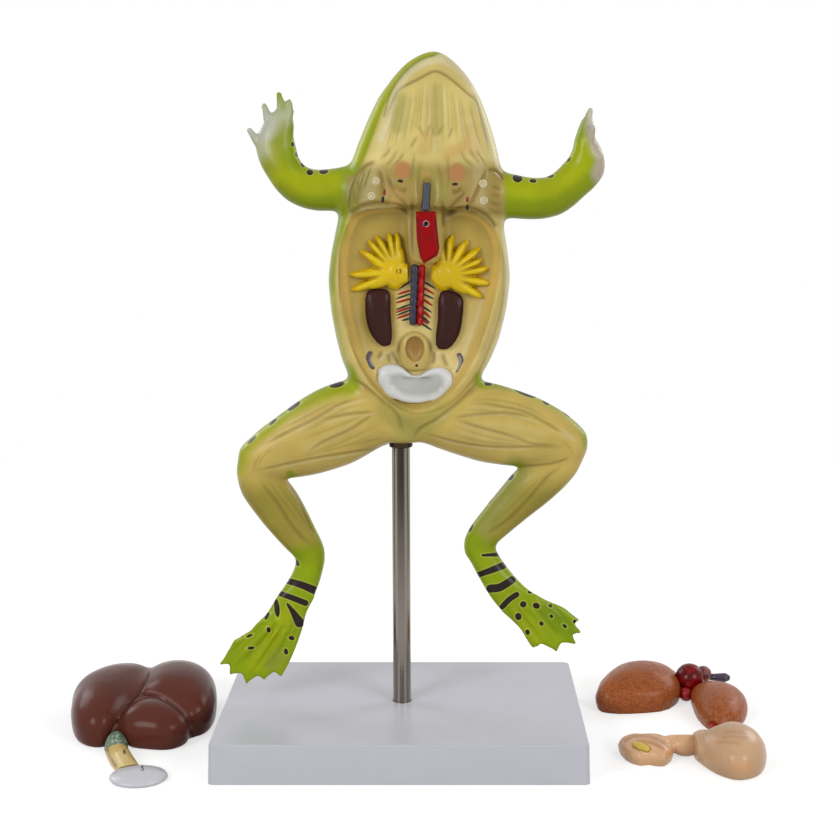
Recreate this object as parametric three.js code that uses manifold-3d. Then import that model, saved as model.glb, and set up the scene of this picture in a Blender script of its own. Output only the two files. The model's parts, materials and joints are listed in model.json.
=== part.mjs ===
// Frog anatomy model: an opened frog on a rod stand, with its removable organs laid beside it.
// Millimetres, +Z up. The origin is under the middle of the base, on the axis of the rod.
// The frog shows its belly to -Y. Left and right are as a viewer of the belly sees them.
import * as THREE from "three";
import { mergeVertices } from "three/addons/utils/BufferGeometryUtils.js";
import Module from "manifold-3d";

const wasm = await Module();
wasm.setup();

// Stand: a moulded base, open below, and a plated steel rod
const baseWidth = 201.6;
const baseDepth = 131.6;
const baseHeight = 22;
const baseDraft = 2; // degrees
const baseCorner = 3;
const baseEdge = 1;
const baseWall = 3;
const hollowCorner = 1;
const ribThickness = 2.4;
const ribLift = 2; // the ribs end this far above the table
const ribSpacing = 50;
const bossWall = 5;
const bossFloor = 4;
const rodDiameter = 10;
const rodShown = 150; // from the base to the crotch of the frog
const rodChamfer = 0.8;
const sleeveWall = 1.2;
const sleeveShown = 3.5; // the part of the sleeve below the crotch
const sleeveDepth = 34; // the part of the sleeve inside the frog
const sleeveCap = 2;
const sleeveChamfer = 0.5;
const seatGap = 0.3; // between pieces that touch

// Trunk and head: height above the crotch, middle, half width, depth to the belly, depth to the back
const trunkStations = [
  { up: 0, middle: 1.5, half: 11, belly: 12, back: 11 },
  { up: 9, middle: 5, half: 17, belly: 15, back: 13.5 },
  { up: 20, middle: 7.7, half: 26, belly: 18.5, back: 16 },
  { up: 35, middle: 7.8, half: 35.8, belly: 22, back: 18.5 },
  { up: 57, middle: 9.5, half: 44.3, belly: 25.5, back: 21 },
  { up: 89, middle: 10.4, half: 49.1, belly: 27, back: 22 },
  { up: 116, middle: 11, half: 45.1, belly: 26, back: 21.5 },
  { up: 141, middle: 13.2, half: 42.1, belly: 23, back: 20 },
  { up: 163, middle: 14.8, half: 35.6, belly: 20, back: 18 },
  { up: 184, middle: 15.9, half: 26.9, belly: 15.5, back: 14.5 },
  { up: 194, middle: 16.7, half: 20.3, belly: 12, back: 11 },
  { up: 201, middle: 16.8, half: 14, belly: 9, back: 8 },
  { up: 205, middle: 17.4, half: 8.6, belly: 6.5, back: 5.5 },
  { up: 207.6, middle: 18.4, half: 3.6, belly: 3.6, back: 3 },
];
const snoutRise = 0.6; // the snout ends this far above the last station
const bellyFullness = 2.9; // exponents of the rounded section, 2 is an ellipse
const backFullness = 2.2;

// Body cavity: its rim as seen from the front, [across, height above the crotch]
const cavityRim = [
  [-9, 127], [-24, 123], [-30, 108], [-31.5, 88], [-27, 63], [-17.5, 36], [-3, 22],
  [6, 19.5], [16, 21.5], [33, 36], [46, 65], [53, 94], [53, 110], [46, 121.5], [32, 126],
];
const cavityFloor = 8; // the floor lies this far in front of the rod's axis
const cavityWallTop = 21.6; // the wall starts to turn in this far in front of the rod's axis
const cavityWallSlope = 6; // and comes in this far on its way to the floor
const cavityEndSlope = 2.5;
const cavityFlare = 0.2; // the mouth opens out by this share of the slopes
const keelLeft = 5; // the keel between the two upper lobes of the cavity
const keelRight = 23;
const keelBottom = 98;
const keelDraft = 2;
const keelFace = 17; // the keel stands out to this far in front of the rod's axis
const slotMargin = 1.2; // the slot that runs on from the keel is this much wider than its vein

// Limbs: centre line [across, depth, height], half width in the view and half depth
const leftArmLine = [
  [-18, -2, 137.5, 14, 12], [-31, -2, 136.6, 11.8, 11], [-44, -2, 135.8, 11.2, 10.2],
  [-54.6, -2, 139.2, 10.6, 9.8], [-61.4, -3, 147.4, 10, 9.2], [-65, -3, 156, 11, 8],
  [-64.8, -4, 164, 9.6, 6], [-62.2, -4, 171.5, 7.4, 4.4], [-60.2, -4, 177, 4.4, 3],
];
const leftFingers = [
  [[-69, -4, 153.5], [-75, -4, 161.6], [-79.4, -5, 168]],
  [[-67, -4, 165], [-69.2, -4, 174], [-71, -5, 180.8]],
  [[-63, -4, 169], [-61.8, -4, 179], [-63, -5, 186.6]],
  [[-60, -4, 169], [-57.8, -4, 177], [-57.6, -5, 182.8]],
];
const rightArmLine = [
  [46, -2, 134.5, 14, 12], [58, -2, 133, 12.2, 11], [70, -2, 131.4, 11.4, 10.4],
  [82, -2, 132.8, 11, 10], [91.2, -3, 139.8, 10.3, 9.4], [98.6, -3, 148, 11.2, 8.8],
  [99.2, -4, 155, 8.8, 8.2], [98.2, -4, 162.5, 5.6, 7.4], [99.4, -4, 172.5, 3, 5],
];
const rightFingers = [
  [[98.5, 1, 162], [99.6, 2, 170], [100.8, 3, 175.5]],
  [[98.4, -4, 164], [99.2, -5, 172], [100.8, -6, 178.4]],
  [[99, -8, 157], [100.4, -10, 164], [101.8, -12, 169.3]],
  [[101, -7, 147], [104.6, -9, 150.5], [107.4, -11, 154.3]],
];
const leftThighLine = [
  [8, -1, 20, 15, 13], [-18, -2, 15.8, 21, 15], [-35.6, -4, 8.6, 22.9, 16],
  [-53.7, -5, 0.3, 20.2, 15], [-70.4, -6, -6.4, 15.6, 13], [-84.5, -6, -12.5, 10, 9.5],
];
const leftShankLine = [
  [-86.5, -6, -11, 5, 7], [-79, -5, -20.5, 11.8, 10.5], [-72.6, -2, -29.6, 13.2, 11.5],
  [-65.5, 0, -41, 12.8, 10.5], [-56.4, 2, -56, 10.4, 9], [-51, 3, -65, 8.8, 7.6], [-50.5, 3, -74, 6.8, 6],
];
const leftFoot = {
  instep: [[-51, 3, -70, 8, 7.5], [-54, 2, -80, 8.6, 6.5], [-61, 0, -92, 9.4, 4.6], [-68, -3, -104, 10, 3]],
  edges: [[-47, -87], [-53, -97], [-55.5, -106.5], [-60, -118], [-64.4, -128]],
  outerEdges: [[-94, -113.8], [-84, -107.5], [-76, -98.5], [-69.2, -87.5], [-66, -84]],
  toes: [[-68.3, -134.8], [-78, -136.5], [-87.9, -138.8], [-96.9, -133.3], [-102, -127.5]],
};
const rightThighLine = [
  [-2, -1, 20, 15, 13], [22, -2, 16.5, 20.5, 15], [48, -4, 10.4, 22.4, 16],
  [71, -5, 5.1, 20, 15], [87, -6, 0.5, 15.5, 12.8], [98.5, -6, -3.5, 9.5, 9.5],
];
const rightShankLine = [
  [98, -6, -2.5, 4.5, 6.5], [90.5, -5, -9.5, 9.8, 10], [82.5, -4, -16, 12.2, 11.5], [73, -2, -24.5, 13, 11],
  [64.5, 0, -33.5, 11.8, 10], [48, 2, -51.5, 9.4, 8.6], [43, 3, -59.5, 8.8, 7.6], [42, 3, -67, 6.8, 6],
];
const rightFoot = {
  instep: [[44, 3, -63, 8, 7.5], [50, 2, -74, 8.6, 6.5], [58, 0, -85, 9.6, 4.6], [68, -3, -94, 10, 3]],
  edges: [[61.5, -77.5], [67.5, -83], [77.4, -88], [91.2, -94]],
  outerEdges: [[67.6, -107.6], [61.5, -101.8], [54.6, -95.3], [48, -86], [45.6, -82]],
  toes: [[99.5, -102], [100.3, -109], [97.5, -115.5], [87.2, -119.8], [74.2, -117.8]],
};
const webThickness = 3;
const webBevel = 0.8;
const webNotch = 4; // the web is cut back this far between two toe tips
const toeRadius = 2.3;
const toeLift = 1; // the toes' middle joints stand out this far from the web
const fingerRadius = 3;

// Where the limbs part from the trunk: points of the cut seen from the front
const leftHipCut = [[-31, 37], [-13, -4]];
const rightHipCut = [[45, 37], [17, -4]];
const shoulderStub = 2; // the trunk keeps this much of each arm

// Eyes, on the back of the head
const eyeRadius = 7;
const eyeUp = 180;
const eyeSpread = 17;
const eyeStandOut = 3.5;

// Fixed organs on the cavity floor: outlines are [across, height above the crotch]
const fatThickness = 6.5;
const leftFat = {
  palm: { at: [-2.4, 92.6], across: 6.8, tall: 9.6 },
  tips: [[-25.7, 83.4], [-26.6, 91.6], [-20.4, 104], [-16.2, 109.4], [-12.4, 112], [-5.6, 113.4],
    [-1.4, 113.4]],
};
const rightFat = {
  palm: { at: [23.6, 92], across: 7, tall: 9.4 },
  tips: [[28, 112.4], [36.2, 109.4], [42.6, 105.4], [43.6, 99.6], [47, 95], [48.4, 86.8], [44, 79.8]],
};
const fatFinger = [
  { along: 0, wide: 4.6, deep: 5.6 }, { along: 0.5, wide: 3.5, deep: 4.9 },
  { along: 0.82, wide: 2.1, deep: 3.6 }, { along: 1, wide: 0.9, deep: 1.8 },
];
const kidneyThickness = 5;
const leftKidney = [
  [-17.3, 82], [-12, 84], [-6, 82.8], [-5, 70], [-5, 54.5], [-9.5, 53.5], [-15.5, 60], [-18.2, 71],
];
const rightKidney = [
  [22, 82], [28, 82.8], [33.6, 79], [33.4, 68], [31.4, 59], [26, 52], [20, 52.5], [20.6, 68],
];
const vesselTop = [10.4, 96.5];
const vesselBottom = [9, 65];
const cavaHalfWidth = 1.9;
const aortaHalfWidth = 1.5;
const vesselRise = 3.6;
const vesselSpans = 6;
const aortaBead = 1.2; // the aorta swells by this factor at every second station
const heartSeatOutline = [
  [9, 125], [19.3, 125.2], [20, 118], [21.3, 106], [20.3, 102.4], [13, 98], [11, 102], [9.4, 111],
];
const heartSeatThickness = 5;
const heartSeatBevel = 1;
const pegHoleDiameter = 2.8;
const pegHoleDepth = 3;
const pegHoleAt = [14, 118.6];
const throatVeinWidth = 4;
const throatVeinTop = [14.8, 140];
const throatVeinLean = 0.8;
const throatVeinThickness = 3.4;
const throatVeinBevel = 0.6;
const bladderOutline = [
  [-12.5, 40], [-7.5, 43.5], [0, 42.8], [5, 38.5], [10, 37.5], [16, 41], [22.5, 42], [28.5, 38.5],
  [28, 31], [23, 25.5], [13, 22.5], [1.5, 23.5], [-6.5, 29.5],
];
const bladderThickness = 5;
const bladderHollow = { at: [8.5, 31], across: 14.5, tall: 5.6, deep: 2.8 };
const rectumOutline = [
  [-0.5, 49], [2, 58.5], [8, 61.5], [14, 58], [16.5, 49], [14, 41], [9.5, 39.8], [5, 40], [1.5, 42],
];
const rectumThickness = 4.6;
const rectumHollow = { at: [8.2, 52.6], across: 5.4, tall: 7.2, deep: 3.2 };
const leftIliac = [[-15.9, 50, 0.8, 1.5], [-17.5, 46.4, 1.4, 2.2], [-16.2, 43, 1.4, 2.2], [-14.2, 41, 0.7, 1.5]];
const rightIliac = [[31.6, 49, 0.8, 1.5], [33.4, 45, 1.4, 2.2], [32.4, 41.2, 1.4, 2.2], [30.4, 38.6, 0.7, 1.5]];

// Removed organs, lying on the table: outlines are [across, depth] in the stand's frame
const liverLobes = [
  { rim: [[-191, 12], [-194, 32], [-187, 51], [-175, 64], [-160, 66], [-150, 57], [-149, 36], [-152, 12],
    [-158, -8], [-167, -20], [-179, -16], [-187, -4]], height: 30 },
  { rim: [[-157, 58], [-146, 70], [-131, 69], [-117, 54], [-110.5, 32], [-109.5, 10], [-113, -1],
    [-121, -4], [-135, 0], [-152, 9], [-158, 34]], height: 30 },
  { rim: [[-161, -3], [-155, 12], [-143, 19], [-130, 12], [-121, -2], [-119.5, -12], [-128, -21.5],
    [-143, -20.5], [-154, -17], [-160, -11]], height: 23 },
];
const liverEdge = 0.42; // height of the rounded edge as a share of the lobe's height
const gallBladder = { at: [-159, -18.5], across: 6.8, deep: 6.8, tall: 11 };
const sternumBarLine = [[-158.5, -21, 0, 6.4, 6.5], [-151.8, -36.5, 0, 6.7, 7], [-144.6, -50, 0, 6.5, 5]];
const sternumDisc = { at: [-138.3, -58], across: 15.8, deep: 13, thickness: 5 };
const leftLungRim = [
  [114.8, 45], [116, 37], [124, 33.5], [140, 34], [156, 38.5], [165, 49], [169, 60], [169, 73], [161, 85],
  [148, 88], [133, 82], [121, 65],
];
const leftLungHeight = 22;
const rightLungRim = [
  [172.5, 40], [174, 54], [183, 62], [194, 59.5], [202.6, 48], [203.6, 34], [199, 19], [189, 6], [178, 5],
  [172.5, 23],
];
const rightLungHeight = 17;
const heartRadius = 8.8;
const heartAt = [174, 62, 12.8];
const atriumRadius = 5.2;
const atriumAt = [183.4, 68, 13];
const aortaRootRadius = 4.6;
const aortaRootAt = [170.8, 54.5, 5.2];
const lungVeinLine = [
  [184, 68, 11.5, 2.2, 2.2], [190, 68.6, 10.8, 2.2, 2.2], [197, 69, 10.4, 3, 3], [200, 69, 10.2, 1.4, 1.4],
];
const lungTipLine = [[178.5, 8, 4, 2.6, 2.6], [177, 0, 3.4, 2.6, 2.6], [177.6, -5.5, 3, 1.6, 1.6]];
const stomachRim = [
  [161, -33.6], [165, -47.6], [170, -56], [179, -62.6], [189.6, -58.5], [195.5, -51], [198.6, -41],
  [197.3, -30], [190, -21.5], [181, -18.5], [173.5, -22], [167, -28],
];
const stomachHeight = 23;
const intestineLine = [
  [146, -25, 5.4, 4.4, 5], [150, -23.5, 5.4, 4.4, 5.2], [156, -22.5, 5.2, 4.6, 5], [162, -23.5, 5.4, 5, 5.2],
  [169, -29, 6.4, 5.8, 6], [174, -35, 7, 5, 6],
];
const coilRim = [
  [120.7, -28], [120.5, -20], [125, -15], [133, -15.5], [142, -14.5], [148.5, -18], [150.5, -26],
  [149, -34.6], [145.5, -40.5], [142, -43.6], [135.5, -41], [128.8, -42], [123.5, -36.5],
];
const coilHeight = 12;
const coilEdge = 0.35;
const pancreasLine = [[127.5, -34, 9.6, 1.4, 1.6], [131, -36.5, 9.2, 2.8, 2.4], [135, -38.5, 8, 1.4, 1.6]];

// Facets
const trunkSides = 24;
const trunkRingGap = 16; // rings of the trunk are no further apart than this
const cavitySides = 30;
const cavityLevels = 4;
const limbSides = 12;
const vesselSides = 10;
const thinSides = 6;
const discPoints = 8;
const turnedSides = 24;
const ballSides = 12;
const ballRings = 8;
const pebbleSides = 22;
const pebbleLevels = 4;
const coilSides = 18;
const cornerSteps = 4;
const edgeSteps = 2;
const capBulge = 0.45; // how far a limb's closed end bulges, as a share of its half width
const footShare = 0.94; // size of a pebble's flat back, as a share of its outline
const pebbleEdge = 0.3; // height of its rounded edge, as a share of its height
const digitTaper = [1.1, 0.9, 0.45];
const farAway = 400;
const cutPast = 1; // cutters run on this far past the surface that they open
const weldReach = 1e-4; // points closer than this are one
const frontView = new THREE.Vector3(0, 1, 0);
const topView = new THREE.Vector3(0, 0, 1);

// Worked-out sizes
const rodRadius = rodDiameter / 2;
const crotchHeight = baseHeight + rodShown;
const sleeveInner = rodRadius + seatGap;
const sleeveOuter = sleeveInner + sleeveWall;
const sleeveBore = sleeveOuter + seatGap;
const floorSeat = -cavityFloor - seatGap; // backs of the organs on the floor
const keelSeat = -keelFace - seatGap;

// Turns a closed geometry into a solid that can be joined and cut
function solid(geometry) {
  const bare = geometry.index ? geometry.toNonIndexed() : geometry.clone();
  for (const name of Object.keys(bare.attributes)) {
    if (name !== "position") bare.deleteAttribute(name);
  }
  const merged = mergeVertices(bare, weldReach);
  const mesh = { numProp: 3, vertProperties: merged.attributes.position.array };
  mesh.triVerts = new Uint32Array(merged.index.array);
  const made = new wasm.Manifold(new wasm.Mesh(mesh));
  if (made.volume() > 0) return made;
  for (let i = 0; i < mesh.triVerts.length; i += 3) {
    const first = mesh.triVerts[i];
    mesh.triVerts[i] = mesh.triVerts[i + 1];
    mesh.triVerts[i + 1] = first;
  }
  return new wasm.Manifold(new wasm.Mesh(mesh));
}

function join(...solids) {
  return solids.reduce((whole, next) => whole.add(next));
}

// A skin over rings of equal count, closed by a point at each end
function loft(rings, startPoint, endPoint) {
  const count = rings[0].length;
  const points = [startPoint, ...rings.flat(), endPoint];
  const last = points.length - 1;
  const at = (ring, side) => 1 + ring * count + (side % count);
  const faces = [];
  for (let side = 0; side < count; side++) {
    faces.push(0, at(0, side + 1), at(0, side));
    faces.push(last, at(rings.length - 1, side), at(rings.length - 1, side + 1));
    for (let ring = 0; ring + 1 < rings.length; ring++) {
      faces.push(at(ring, side), at(ring, side + 1), at(ring + 1, side + 1));
      faces.push(at(ring, side), at(ring + 1, side + 1), at(ring + 1, side));
    }
  }
  const geometry = new THREE.BufferGeometry().setFromPoints(points);
  geometry.setIndex(faces);
  return solid(geometry);
}

function middleOf(ring) {
  const sum = ring.reduce((total, point) => total.add(point), new THREE.Vector3());
  return sum.divideScalar(ring.length);
}

// A limb or vessel: [x, y, z, half width, half depth] stations joined by a smooth skin.
// The depth is measured along the direction that it is seen from.
function limb(stations, { sides = limbSides, stepsPerSpan = 2, seenAlong = frontView } = {}) {
  const line = new THREE.CatmullRomCurve3(stations.map(([x, y, z]) => new THREE.Vector3(x, y, z)));
  const girth = new THREE.CatmullRomCurve3(stations.map(([, , , w, d]) => new THREE.Vector3(w, d, 0)));
  const steps = (stations.length - 1) * stepsPerSpan;
  const rings = [];
  for (let step = 0; step <= steps; step++) {
    const centre = line.getPoint(step / steps);
    const along = line.getTangent(step / steps);
    const across = new THREE.Vector3().crossVectors(along, seenAlong).normalize();
    const inward = new THREE.Vector3().crossVectors(across, along).normalize();
    const { x: wide, y: deep } = girth.getPoint(step / steps);
    const ring = [];
    for (let side = 0; side < sides; side++) {
      const turn = (side / sides) * 2 * Math.PI;
      const point = centre.clone().addScaledVector(across, wide * Math.cos(turn));
      ring.push(point.addScaledVector(inward, deep * Math.sin(turn)));
    }
    rings.push(ring);
  }
  const capOf = (ring, at, sign) => {
    const reach = ring[0].distanceTo(middleOf(ring)) * capBulge * sign;
    return middleOf(ring).addScaledVector(line.getTangent(at), reach);
  };
  return loft(rings, capOf(rings[0], 0, -1), capOf(rings[steps], 1, 1));
}

// A closed smooth outline through [x, y] points
function smoothOutline(points, count) {
  const curve = new THREE.CatmullRomCurve3(points.map(([x, y]) => new THREE.Vector3(x, y, 0)), true);
  return curve.getPoints(count).slice(0, count);
}

// A pebble with a flat back at z = 0: an outline that rises over a rounded edge to a crown
function pebble(points, height, edgeShare = pebbleEdge, count = pebbleSides) {
  const edge = height * edgeShare;
  const outline = smoothOutline(points, count);
  const centre = middleOf(outline);
  const ringAt = (share, z) =>
    outline.map((point) => point.clone().lerp(centre, 1 - share).setZ(z));
  const rings = [ringAt(footShare, 0), ringAt(1, edge)];
  for (let level = 1; level < pebbleLevels; level++) {
    const turn = (level / pebbleLevels) * (Math.PI / 2);
    rings.push(ringAt(Math.cos(turn), edge + (height - edge) * Math.sin(turn)));
  }
  return loft(rings, new THREE.Vector3(centre.x, centre.y, 0), new THREE.Vector3(centre.x, centre.y, height));
}

// Turns a piece made flat on XY so that it stands on the wall y = seat and faces the viewer
function onWall(piece, seat) {
  return piece.rotate([90, 0, 0]).translate([0, seat, 0]);
}

function ball(radius, [x, y, z], stretch = [1, 1, 1]) {
  const geometry = new THREE.SphereGeometry(radius, ballSides, ballRings);
  return solid(geometry).scale(stretch).translate([x, y, z]);
}

// The same line with every half width and half depth grown by a gap
function grown(line, gap) {
  return line.map(([x, y, z, wide, deep]) => [x, y, z, wide + gap, deep + gap]);
}

function box(width, depth, height, x, y, z) {
  return solid(new THREE.BoxGeometry(width, depth, height)).translate([x, y, z]);
}

function turned(profile) {
  const points = profile.map(([radius, z]) => new THREE.Vector2(radius, z));
  return solid(new THREE.LatheGeometry(points, turnedSides)).rotate([90, 0, 0]);
}

function plate(points, thickness, bevel) {
  const shape = new THREE.Shape(points.map(([x, y]) => new THREE.Vector2(x, y)));
  const settings = { depth: thickness - 2 * bevel, bevelSize: bevel, bevelThickness: bevel };
  Object.assign(settings, { bevelOffset: -bevel, bevelSegments: 1 });
  return solid(new THREE.ExtrudeGeometry(shape, settings)).translate([0, 0, bevel]);
}

function roundedRing(width, depth, corner, z) {
  const ring = [];
  for (let quarter = 0; quarter < 4; quarter++) {
    const signX = quarter === 0 || quarter === 3 ? 1 : -1;
    const signY = quarter < 2 ? 1 : -1;
    for (let step = 0; step <= cornerSteps; step++) {
      const turn = (quarter + step / cornerSteps) * (Math.PI / 2);
      const x = signX * (width / 2 - corner) + corner * Math.cos(turn);
      const y = signY * (depth / 2 - corner) + corner * Math.sin(turn);
      ring.push(new THREE.Vector3(x, y, z));
    }
  }
  return ring;
}

// Everything on one side of an upright plane through two [x, z] points, set back by a gap
function beyond([[x1, z1], [x2, z2]], leftSide, gap) {
  const line = new THREE.Vector2(x1 - x2, z1 - z2);
  const angle = Math.atan2(line.x, line.y);
  const side = leftSide ? -1 : 1;
  const block = box(farAway, farAway, farAway, side * (farAway / 2 + gap), 0, 0);
  return block.rotate([0, THREE.MathUtils.radToDeg(angle), 0]).translate([x2, 0, z2]);
}

// Smooth value of one column of the trunk table at a height
function trunkAt(key, up) {
  const last = trunkStations.length - 1;
  const next = trunkStations.findIndex((station) => station.up >= up);
  const i = Math.min(Math.max(next, 1), last);
  const from = trunkStations[i - 1];
  const to = trunkStations[i];
  const before = trunkStations[Math.max(i - 2, 0)];
  const after = trunkStations[Math.min(i + 1, last)];
  const span = to.up - from.up;
  const slopeIn = ((to[key] - before[key]) / (to.up - before.up)) * span;
  const slopeOut = ((after[key] - from[key]) / (after.up - from.up)) * span;
  const t = (up - from.up) / span;
  const bend = (2 * t - 3) * t * t;
  return (1 + bend) * from[key] - bend * to[key] + t * (t - 1) * ((t - 1) * slopeIn + t * slopeOut);
}

function trunkRing(up) {
  const ring = [];
  for (let side = 0; side < trunkSides; side++) {
    const turn = (side / trunkSides) * 2 * Math.PI;
    const front = Math.sin(turn) < 0;
    const power = 2 / (front ? bellyFullness : backFullness);
    const depth = front ? trunkAt("belly", up) : trunkAt("back", up);
    const x = trunkAt("half", up) * Math.sign(Math.cos(turn)) * Math.abs(Math.cos(turn)) ** power;
    const y = depth * Math.sign(Math.sin(turn)) * Math.abs(Math.sin(turn)) ** power;
    ring.push(new THREE.Vector3(trunkAt("middle", up) + x, y, up));
  }
  return ring;
}

function trunk() {
  const ups = trunkStations.flatMap(({ up }, i) => {
    const next = trunkStations[i + 1];
    if (!next) return [up];
    const steps = Math.ceil((next.up - up) / trunkRingGap);
    return Array.from({ length: steps }, (_, step) => THREE.MathUtils.lerp(up, next.up, step / steps));
  });
  const rings = ups.map(trunkRing);
  const top = trunkStations[trunkStations.length - 1];
  const bottom = trunkStations[0];
  const tip = new THREE.Vector3(top.middle, 0, top.up + snoutRise);
  return loft(rings, new THREE.Vector3(bottom.middle, 0, bottom.up), tip);
}

// Base
function makeBase() {
  const taper = Math.tan(THREE.MathUtils.degToRad(baseDraft));
  const level = (inset, z, corner = baseCorner) =>
    roundedRing(baseWidth - 2 * inset, baseDepth - 2 * inset, corner, z);
  const edgeZ = baseHeight - baseEdge;
  const edgeRings = [];
  for (let step = 0; step <= edgeSteps; step++) {
    const turn = (step / edgeSteps) * (Math.PI / 2);
    const inset = edgeZ * taper + baseEdge * (1 - Math.cos(turn));
    edgeRings.push(level(inset, edgeZ + baseEdge * Math.sin(turn)));
  }
  const top = new THREE.Vector3(0, 0, baseHeight);
  const block = loft([level(0, 0), ...edgeRings], new THREE.Vector3(), top);
  const roofZ = baseHeight - baseWall;
  const hollow = loft(
    [level(baseWall, -cutPast, hollowCorner), level(baseWall + roofZ * taper, roofZ, hollowCorner)],
    new THREE.Vector3(0, 0, -cutPast),
    new THREE.Vector3(0, 0, roofZ),
  );
  const bossRadius = rodRadius + seatGap + bossWall;
  const innerTop = baseHeight - baseWall / 2;
  const boss = turned([[0, 0], [bossRadius, 0], [bossRadius + innerTop * taper, innerTop], [0, innerTop]]);
  const ribHeight = innerTop - ribLift;
  const ribMiddle = ribLift + ribHeight / 2;
  const ribs = [box(baseWidth, ribThickness, ribHeight, 0, 0, ribMiddle)];
  const pairs = Math.floor((baseWidth / 2 - baseWall) / ribSpacing);
  for (let place = -pairs; place <= pairs; place++) {
    ribs.push(box(ribThickness, baseDepth, ribHeight, place * ribSpacing, 0, ribMiddle));
  }
  const bore = turned([
    [0, bossFloor],
    [rodRadius + seatGap, bossFloor],
    [rodRadius + seatGap, baseHeight + cutPast],
    [0, baseHeight + cutPast],
  ]);
  return block.subtract(hollow).add(join(boss, ...ribs).intersect(block)).subtract(bore);
}

function makeRod() {
  const foot = bossFloor + seatGap;
  const top = crotchHeight + sleeveDepth - sleeveCap - seatGap;
  return turned([
    [0, foot],
    [rodRadius - rodChamfer, foot],
    [rodRadius, foot + rodChamfer],
    [rodRadius, top - rodChamfer],
    [rodRadius - rodChamfer, top],
    [0, top],
  ]);
}

function makeSleeve() {
  return turned([
    [sleeveInner, -sleeveShown],
    [sleeveOuter - sleeveChamfer, -sleeveShown],
    [sleeveOuter, -sleeveShown + sleeveChamfer],
    [sleeveOuter, sleeveDepth - sleeveChamfer],
    [sleeveOuter - sleeveChamfer, sleeveDepth],
    [0, sleeveDepth],
    [0, sleeveDepth - sleeveCap],
    [sleeveInner, sleeveDepth - sleeveCap],
    [sleeveInner, -sleeveShown],
  ]);
}

// Hands and feet
function digit(points, radius) {
  const line = points.map((point, i) => [...point, radius * digitTaper[i], radius * digitTaper[i]]);
  return limb(line, { sides: thinSides, stepsPerSpan: 1 });
}

function makeArm(line, fingers) {
  return join(limb(line), ...fingers.map((finger) => digit(finger, fingerRadius)));
}

function makeFoot({ instep, edges, outerEdges, toes }) {
  const [startX, startY, startZ] = instep[1];
  const webY = instep[instep.length - 1][1];
  const margin = [];
  toes.forEach(([x, z], i) => {
    margin.push([x, z]);
    if (i + 1 === toes.length) return;
    const between = new THREE.Vector2((x + toes[i + 1][0]) / 2, (z + toes[i + 1][1]) / 2);
    const back = new THREE.Vector2(startX, startZ).sub(between).setLength(webNotch);
    between.add(back);
    margin.push([between.x, between.y]);
  });
  const webOutline = [...edges, ...margin, ...outerEdges];
  const web = onWall(plate(webOutline, webThickness, webBevel), webY + webThickness / 2);
  const bones = toes.map(([x, z]) => {
    const middle = [(startX + x) / 2, webY - toeLift, (startZ + z) / 2];
    return digit([[startX, startY, startZ], middle, [x, webY, z]], toeRadius);
  });
  return join(limb(instep, { stepsPerSpan: 1 }), web, ...bones);
}

function makeLeg(thigh, shank, foot) {
  return join(limb(thigh), limb(shank), makeFoot(foot));
}

// The body cavity with its keel left standing. A gap makes it smaller all round, as room for organs.
function makeCavity(gap = 0) {
  const outline = smoothOutline(cavityRim, cavitySides);
  const centre = middleOf(outline);
  const reachX = Math.max(...outline.map((p) => Math.abs(p.x - centre.x)));
  const reachZ = Math.max(...outline.map((p) => Math.abs(p.y - centre.y)));
  const mouthY = -farAway / 4;
  const floorY = -cavityFloor - gap;
  const ringAt = (share, y) =>
    outline.map((p) => {
      const x = centre.x + (p.x - centre.x) * (1 - (share * cavityWallSlope + gap) / reachX);
      const z = centre.y + (p.y - centre.y) * (1 - (share * cavityEndSlope + gap) / reachZ);
      return new THREE.Vector3(x, y, z);
    });
  const rings = [ringAt(-cavityFlare, mouthY), ringAt(0, -cavityWallTop)];
  for (let step = 1; step <= cavityLevels; step++) {
    const turn = (step / cavityLevels) * (Math.PI / 2);
    rings.push(ringAt(1 - Math.cos(turn), THREE.MathUtils.lerp(-cavityWallTop, floorY, Math.sin(turn))));
  }
  const egg = loft(
    rings,
    new THREE.Vector3(centre.x, mouthY, centre.y),
    new THREE.Vector3(centre.x, floorY, centre.y),
  );
  const top = centre.y + 2 * reachZ;
  const middle = (keelLeft + keelRight) / 2;
  const keelRing = (draft, y) => {
    const left = keelLeft - draft - gap;
    const right = keelRight + draft + gap;
    const end = keelBottom - draft - gap;
    const round = (right - left) / 4;
    return [[left, top], [right, top], [right, end + round], [middle + round, end], [middle - round, end],
      [left, end + round]].map(([x, z]) => new THREE.Vector3(x, y, z));
  };
  const keelRings = [keelRing(0, -keelFace - gap), keelRing(keelDraft, 0)];
  return egg.subtract(loft(keelRings, middleOf(keelRings[0]), middleOf(keelRings[1])));
}

// Slot that runs on from the face of the keel into the throat, for the throat vein
function makeSlot() {
  const [topX, topZ] = throatVeinTop;
  const half = throatVeinWidth / 2 + slotMargin;
  const bottomZ = heartSeatTop() - 2 * half;
  const outline = [
    [topX - throatVeinLean - half, bottomZ], [topX - throatVeinLean + half, bottomZ], [topX + half, topZ],
    [topX, topZ + half], [topX - half, topZ],
  ];
  return onWall(plate(outline, farAway / 4, throatVeinBevel), -keelFace);
}

function heartSeatTop() {
  return Math.max(...heartSeatOutline.map(([, z]) => z));
}

function eyeCentres() {
  const back = trunkAt("back", eyeUp) + eyeStandOut - eyeRadius;
  const middle = trunkAt("middle", eyeUp);
  return [middle - eyeSpread, middle + eyeSpread].map((x) => [x, back, eyeUp]);
}

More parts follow.
